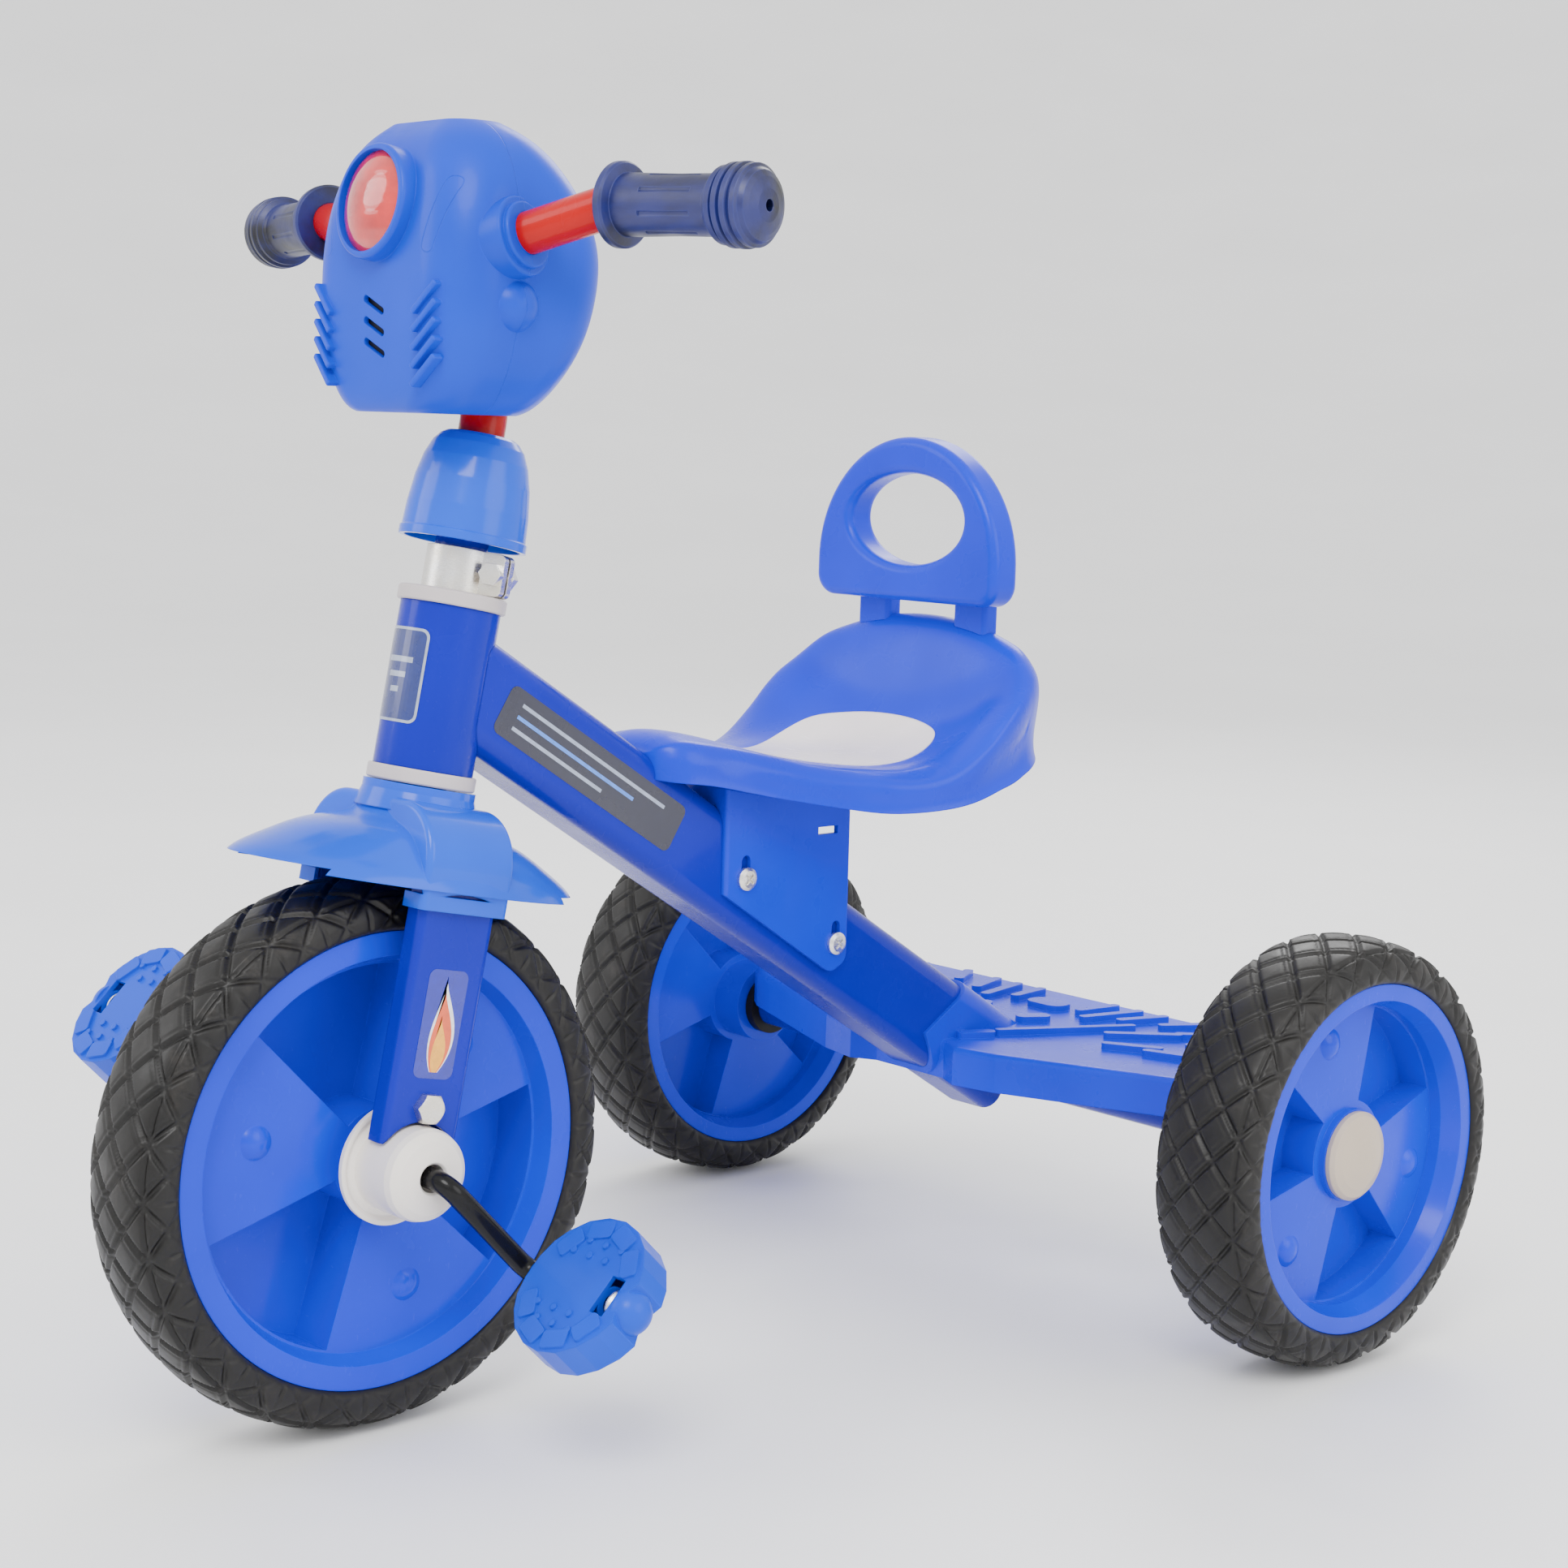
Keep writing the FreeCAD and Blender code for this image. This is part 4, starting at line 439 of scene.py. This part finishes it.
# node, body, bead depth, lattice cells round, steps round, (crown to rim, side to rim)
TYRES = (
    ("front_tyre", "front_wheel", 7.3, 30, 1100, (22.7, 3.4)),
    ("rear_tyre_left", "rear_wheel_left", 6.0, 26, 950, (22.0, 3.3)),
    ("rear_tyre_right", "rear_wheel_right", 6.0, 26, 950, (22.0, 3.3)),
)
for node, body, bead_drop, cells, turns, rim_gap in TYRES:
    tyre_piece(node, body, bead_drop, cells, turns, PROFILE_SAMPLES, rim_gap)


# ---------------------------------------------------------------- printed stickers
TILT = math.radians(11.0)
SLOPE = math.radians(31.7)
UP_HEAD = Vector((0, math.sin(TILT), math.cos(TILT)))
BACK_HEAD = Vector((0, math.cos(TILT), -math.sin(TILT)))
WHEEL = Vector((0, -0.210, 0.130))
ALONG_TUBE = Vector((0, math.cos(SLOPE), -math.sin(SLOPE)))
ACROSS_TUBE = Vector((0, math.sin(SLOPE), math.cos(SLOPE)))


HEAD_TUBE_R = 23.7
HEAD_LABEL_UP = 222                      # along the steering axis from the wheel centre
TUBE_LABEL = (21.2, -91.0, 303.44)
LEG_FACE_X, LEG_LABEL_UP = 47.7, 68
FLAME_BASE, FLAME_STEPS = -22, 14
LABEL_STEP, BAR_STEP = 2.0, 1.6          # strip widths that follow the round head tube
LONG_STEP = 30                           # flat labels need no cutting into strips


def decal(name, outline, place, material, body, step):
    """Flat outline in millimetres, cut into strips and laid on a surface by place(u, v)."""
    bm = bmesh.new()
    bm.faces.new([bm.verts.new((u, v, 0)) for u, v in outline])
    low = min(u for u, v in outline)
    high = max(u for u, v in outline)
    cut = low + step
    while cut < high:
        every = bm.verts[:] + bm.edges[:] + bm.faces[:]
        bmesh.ops.bisect_plane(bm, geom=every, plane_co=(cut, 0, 0), plane_no=(1, 0, 0))
        cut += step
    bmesh.ops.triangulate(bm, faces=bm.faces[:])
    for vert in bm.verts:
        vert.co = place(vert.co.x, vert.co.y)
    bmesh.ops.recalc_face_normals(bm, faces=bm.faces[:])
    data = bpy.data.meshes.new(name)
    bm.to_mesh(data)
    bm.free()
    data.materials.append(material)
    made = bpy.data.objects.new(name, data)
    bpy.context.scene.collection.objects.link(made)
    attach(made, body)
    return made


def on_head(lift):
    radius = HEAD_TUBE_R + lift

    def place(u, v):
        turn = u / radius
        return (WHEEL + UP_HEAD * ((HEAD_LABEL_UP + v) * MM)
                + Vector((math.sin(turn) * radius * MM, 0, 0))
                - BACK_HEAD * (math.cos(turn) * radius * MM))
    return place


def on_tube(lift):
    centre = Vector((TUBE_LABEL[0] + lift, *TUBE_LABEL[1:])) * MM
    return lambda u, v: centre + ALONG_TUBE * (u * MM) + ACROSS_TUBE * (v * MM)


def on_leg(lift):
    centre = WHEEL + UP_HEAD * (LEG_LABEL_UP * MM) + Vector(((LEG_FACE_X + lift) * MM, 0, 0))
    return lambda u, v: centre + BACK_HEAD * (u * MM) + UP_HEAD * (v * MM)


INK = {key: printed("ink_" + key, colour) for key, colour in (
    ("white", srgb(238, 238, 240)), ("navy", srgb(20, 40, 110)),
    ("sky", srgb(70, 130, 226)), ("amber", srgb(244, 168, 30)),
    ("orange", srgb(226, 84, 26)), ("steel", srgb(150, 160, 182)))}


def rounded_box(width, height, corner):
    """Outline of a plain label: a rectangle whose corners are quarter circles."""
    points = []
    for quarter, (side_u, side_v) in enumerate(((1, 1), (-1, 1), (-1, -1), (1, -1))):
        for step in range(5):
            turn = math.radians(90 * quarter + 22.5 * step)
            points.append((side_u * (width / 2 - corner) + corner * math.cos(turn),
                           side_v * (height / 2 - corner) + corner * math.sin(turn)))
    return points


def bar(u, v, length, thick):
    return [(u - length / 2, v - thick / 2), (u + length / 2, v - thick / 2),
            (u + length / 2, v + thick / 2), (u - length / 2, v + thick / 2)]


def flame(height, width, sway):
    sides = []
    for side in (1, -1):
        row = []
        for k in range(FLAME_STEPS + 1):
            t = k / FLAME_STEPS
            belly = math.sin(math.pi * min(t * 1.05 + 0.06, 1.0)) ** 0.8
            reach = width * belly * (1 - t) ** 0.45
            row.append((side * reach + sway * math.sin(3.4 * t), FLAME_BASE + height * t))
        sides.append(row)
    return sides[0] + sides[1][::-1][1:]


def sticker_pieces():
    badge = decal("badge_film", rounded_box(31.0, 44.0, 4.0), on_head(0.10), INK["steel"],
                  "frame", LABEL_STEP)
    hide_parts("head_tube_sticker")
    decal("badge_field", rounded_box(28.4, 41.4, 3.0), on_head(0.15), INK["navy"],
          "frame", LABEL_STEP)
    for index, length in enumerate((18.0, 12.0, 6.0)):
        decal(f"badge_bar_{index}", bar(0.0, 7.0 - 7.0 * index, length, 2.6), on_head(0.20),
              INK["steel"], "frame", BAR_STEP)
    lines = ((104.0, "steel"), (84.0, "sky"), (64.0, "steel"))
    for index, (length, ink) in enumerate(lines):
        decal(f"tube_line_{index}", bar(length / 2 - 54.0, 6.0 - 6.0 * index, length, 1.8),
              on_tube(0.05), INK[ink], "frame", LONG_STEP)
    decal("flame_outer", flame(44, 8.6, 1.4), on_leg(0.05), INK["white"], "steering",
          LONG_STEP)
    decal("flame_orange", flame(39, 7.2, 1.2), on_leg(0.10), INK["orange"], "steering",
          LONG_STEP)
    decal("flame_amber", flame(26, 4.6, 0.9), on_leg(0.15), INK["amber"], "steering",
          LONG_STEP)


sticker_pieces()


# ---------------------------------------------------------------- studio
# floor: metres that stay flat, outer radius, height at the outer edge; then its mesh
BOWL_FLAT, BOWL_RADIUS, BOWL_RISE = 3.0, 14.0, 6.0
BOWL_TURNS, BOWL_RINGS = 96, 40
FLOOR_DARK, FLOOR_LIGHT = (0.90, 0.90, 0.905, 1), (0.94, 0.94, 0.945, 1)


def backdrop():
    g = Graph("studio_floor")
    base = g.mix(g.span(g.noise(scale=2.0), 0.3, 0.7, 0.0, 1.0), FLOOR_DARK, FLOOR_LIGHT)
    mat = g.finish(Base_Color=base, Roughness=g.span(g.noise(30.0), 0.3, 0.7, 0.45, 0.6),
                   Normal=g.bump(g.noise(500.0), 0.00005, 0.3))
    verts, faces = [(0, 0, 0)], []
    for ring in range(1, BOWL_RINGS + 1):
        radius = BOWL_RADIUS * ring / BOWL_RINGS
        rise = max(radius - BOWL_FLAT, 0) / (BOWL_RADIUS - BOWL_FLAT)
        for k in range(BOWL_TURNS):
            turn = 2 * math.pi * k / BOWL_TURNS
            verts.append((radius * math.cos(turn), radius * math.sin(turn), BOWL_RISE * rise ** 2))
    for k in range(BOWL_TURNS):
        beside = (k + 1) % BOWL_TURNS
        faces.append((0, 1 + k, 1 + beside))
        for ring in range(BOWL_RINGS - 1):
            inner, outer = 1 + ring * BOWL_TURNS, 1 + (ring + 1) * BOWL_TURNS
            faces.append((inner + k, outer + k, outer + beside, inner + beside))
    floor = link("studio_floor", verts, faces, mat)


def area(name, place, aim_height, size, power):
    data = bpy.data.lights.new(name, "AREA")
    data.shape = "DISK"
    data.size = size
    data.energy = power
    lamp = bpy.data.objects.new(name, data)
    lamp.location = place
    aim = Vector((0, 0, aim_height))
    lamp.rotation_euler = (aim - Vector(place)).to_track_quat("-Z", "Y").to_euler()
    bpy.context.scene.collection.objects.link(lamp)


# name, place, height aimed at, diameter, watts
LIGHTS = (
    ("key", (1.3, -1.6, 2.3), 0.25, 1.4, 62),
    ("fill", (2.4, 0.6, 1.3), 0.3, 1.8, 26),
    ("front", (-1.6, -2.2, 1.5), 0.3, 1.6, 26),
    ("rim", (-1.2, 2.0, 1.9), 0.3, 1.4, 30),
)
SKY_STRENGTH = 1.55


def studio():
    backdrop()
    for light in LIGHTS:
        area(*light)
    world = bpy.data.worlds.new("studio")
    world.use_nodes = True
    back = world.node_tree.nodes["Background"]
    back.inputs["Color"].default_value = (1.0, 1.0, 1.0, 1.0)
    back.inputs["Strength"].default_value = SKY_STRENGTH
    bpy.context.scene.world = world


EYE = (1.03262, -0.90358, 0.46736)
HEADING, PITCH, ROLL = 47.14, 7.37, 1.84      # degrees
LENS_MM = 62.1                                # for a 36 mm sensor


def camera():
    heading, pitch, roll = (math.radians(angle) for angle in (HEADING, PITCH, ROLL))
    back = Vector((math.sin(heading) * math.cos(pitch), -math.cos(heading) * math.cos(pitch),
                   math.sin(pitch)))
    right = Vector((math.cos(heading), math.sin(heading), 0))
    up = back.cross(right)
    right_rolled = right * math.cos(roll) + up * math.sin(roll)
    up_rolled = up * math.cos(roll) - right * math.sin(roll)
    turn = Matrix((right_rolled, up_rolled, back)).transposed().to_4x4()
    data = bpy.data.cameras.new("view")
    data.lens = LENS_MM
    made = bpy.data.objects.new("view", data)
    made.matrix_world = Matrix.Translation(EYE) @ turn
    bpy.context.scene.collection.objects.link(made)
    bpy.context.scene.camera = made


studio()
camera()
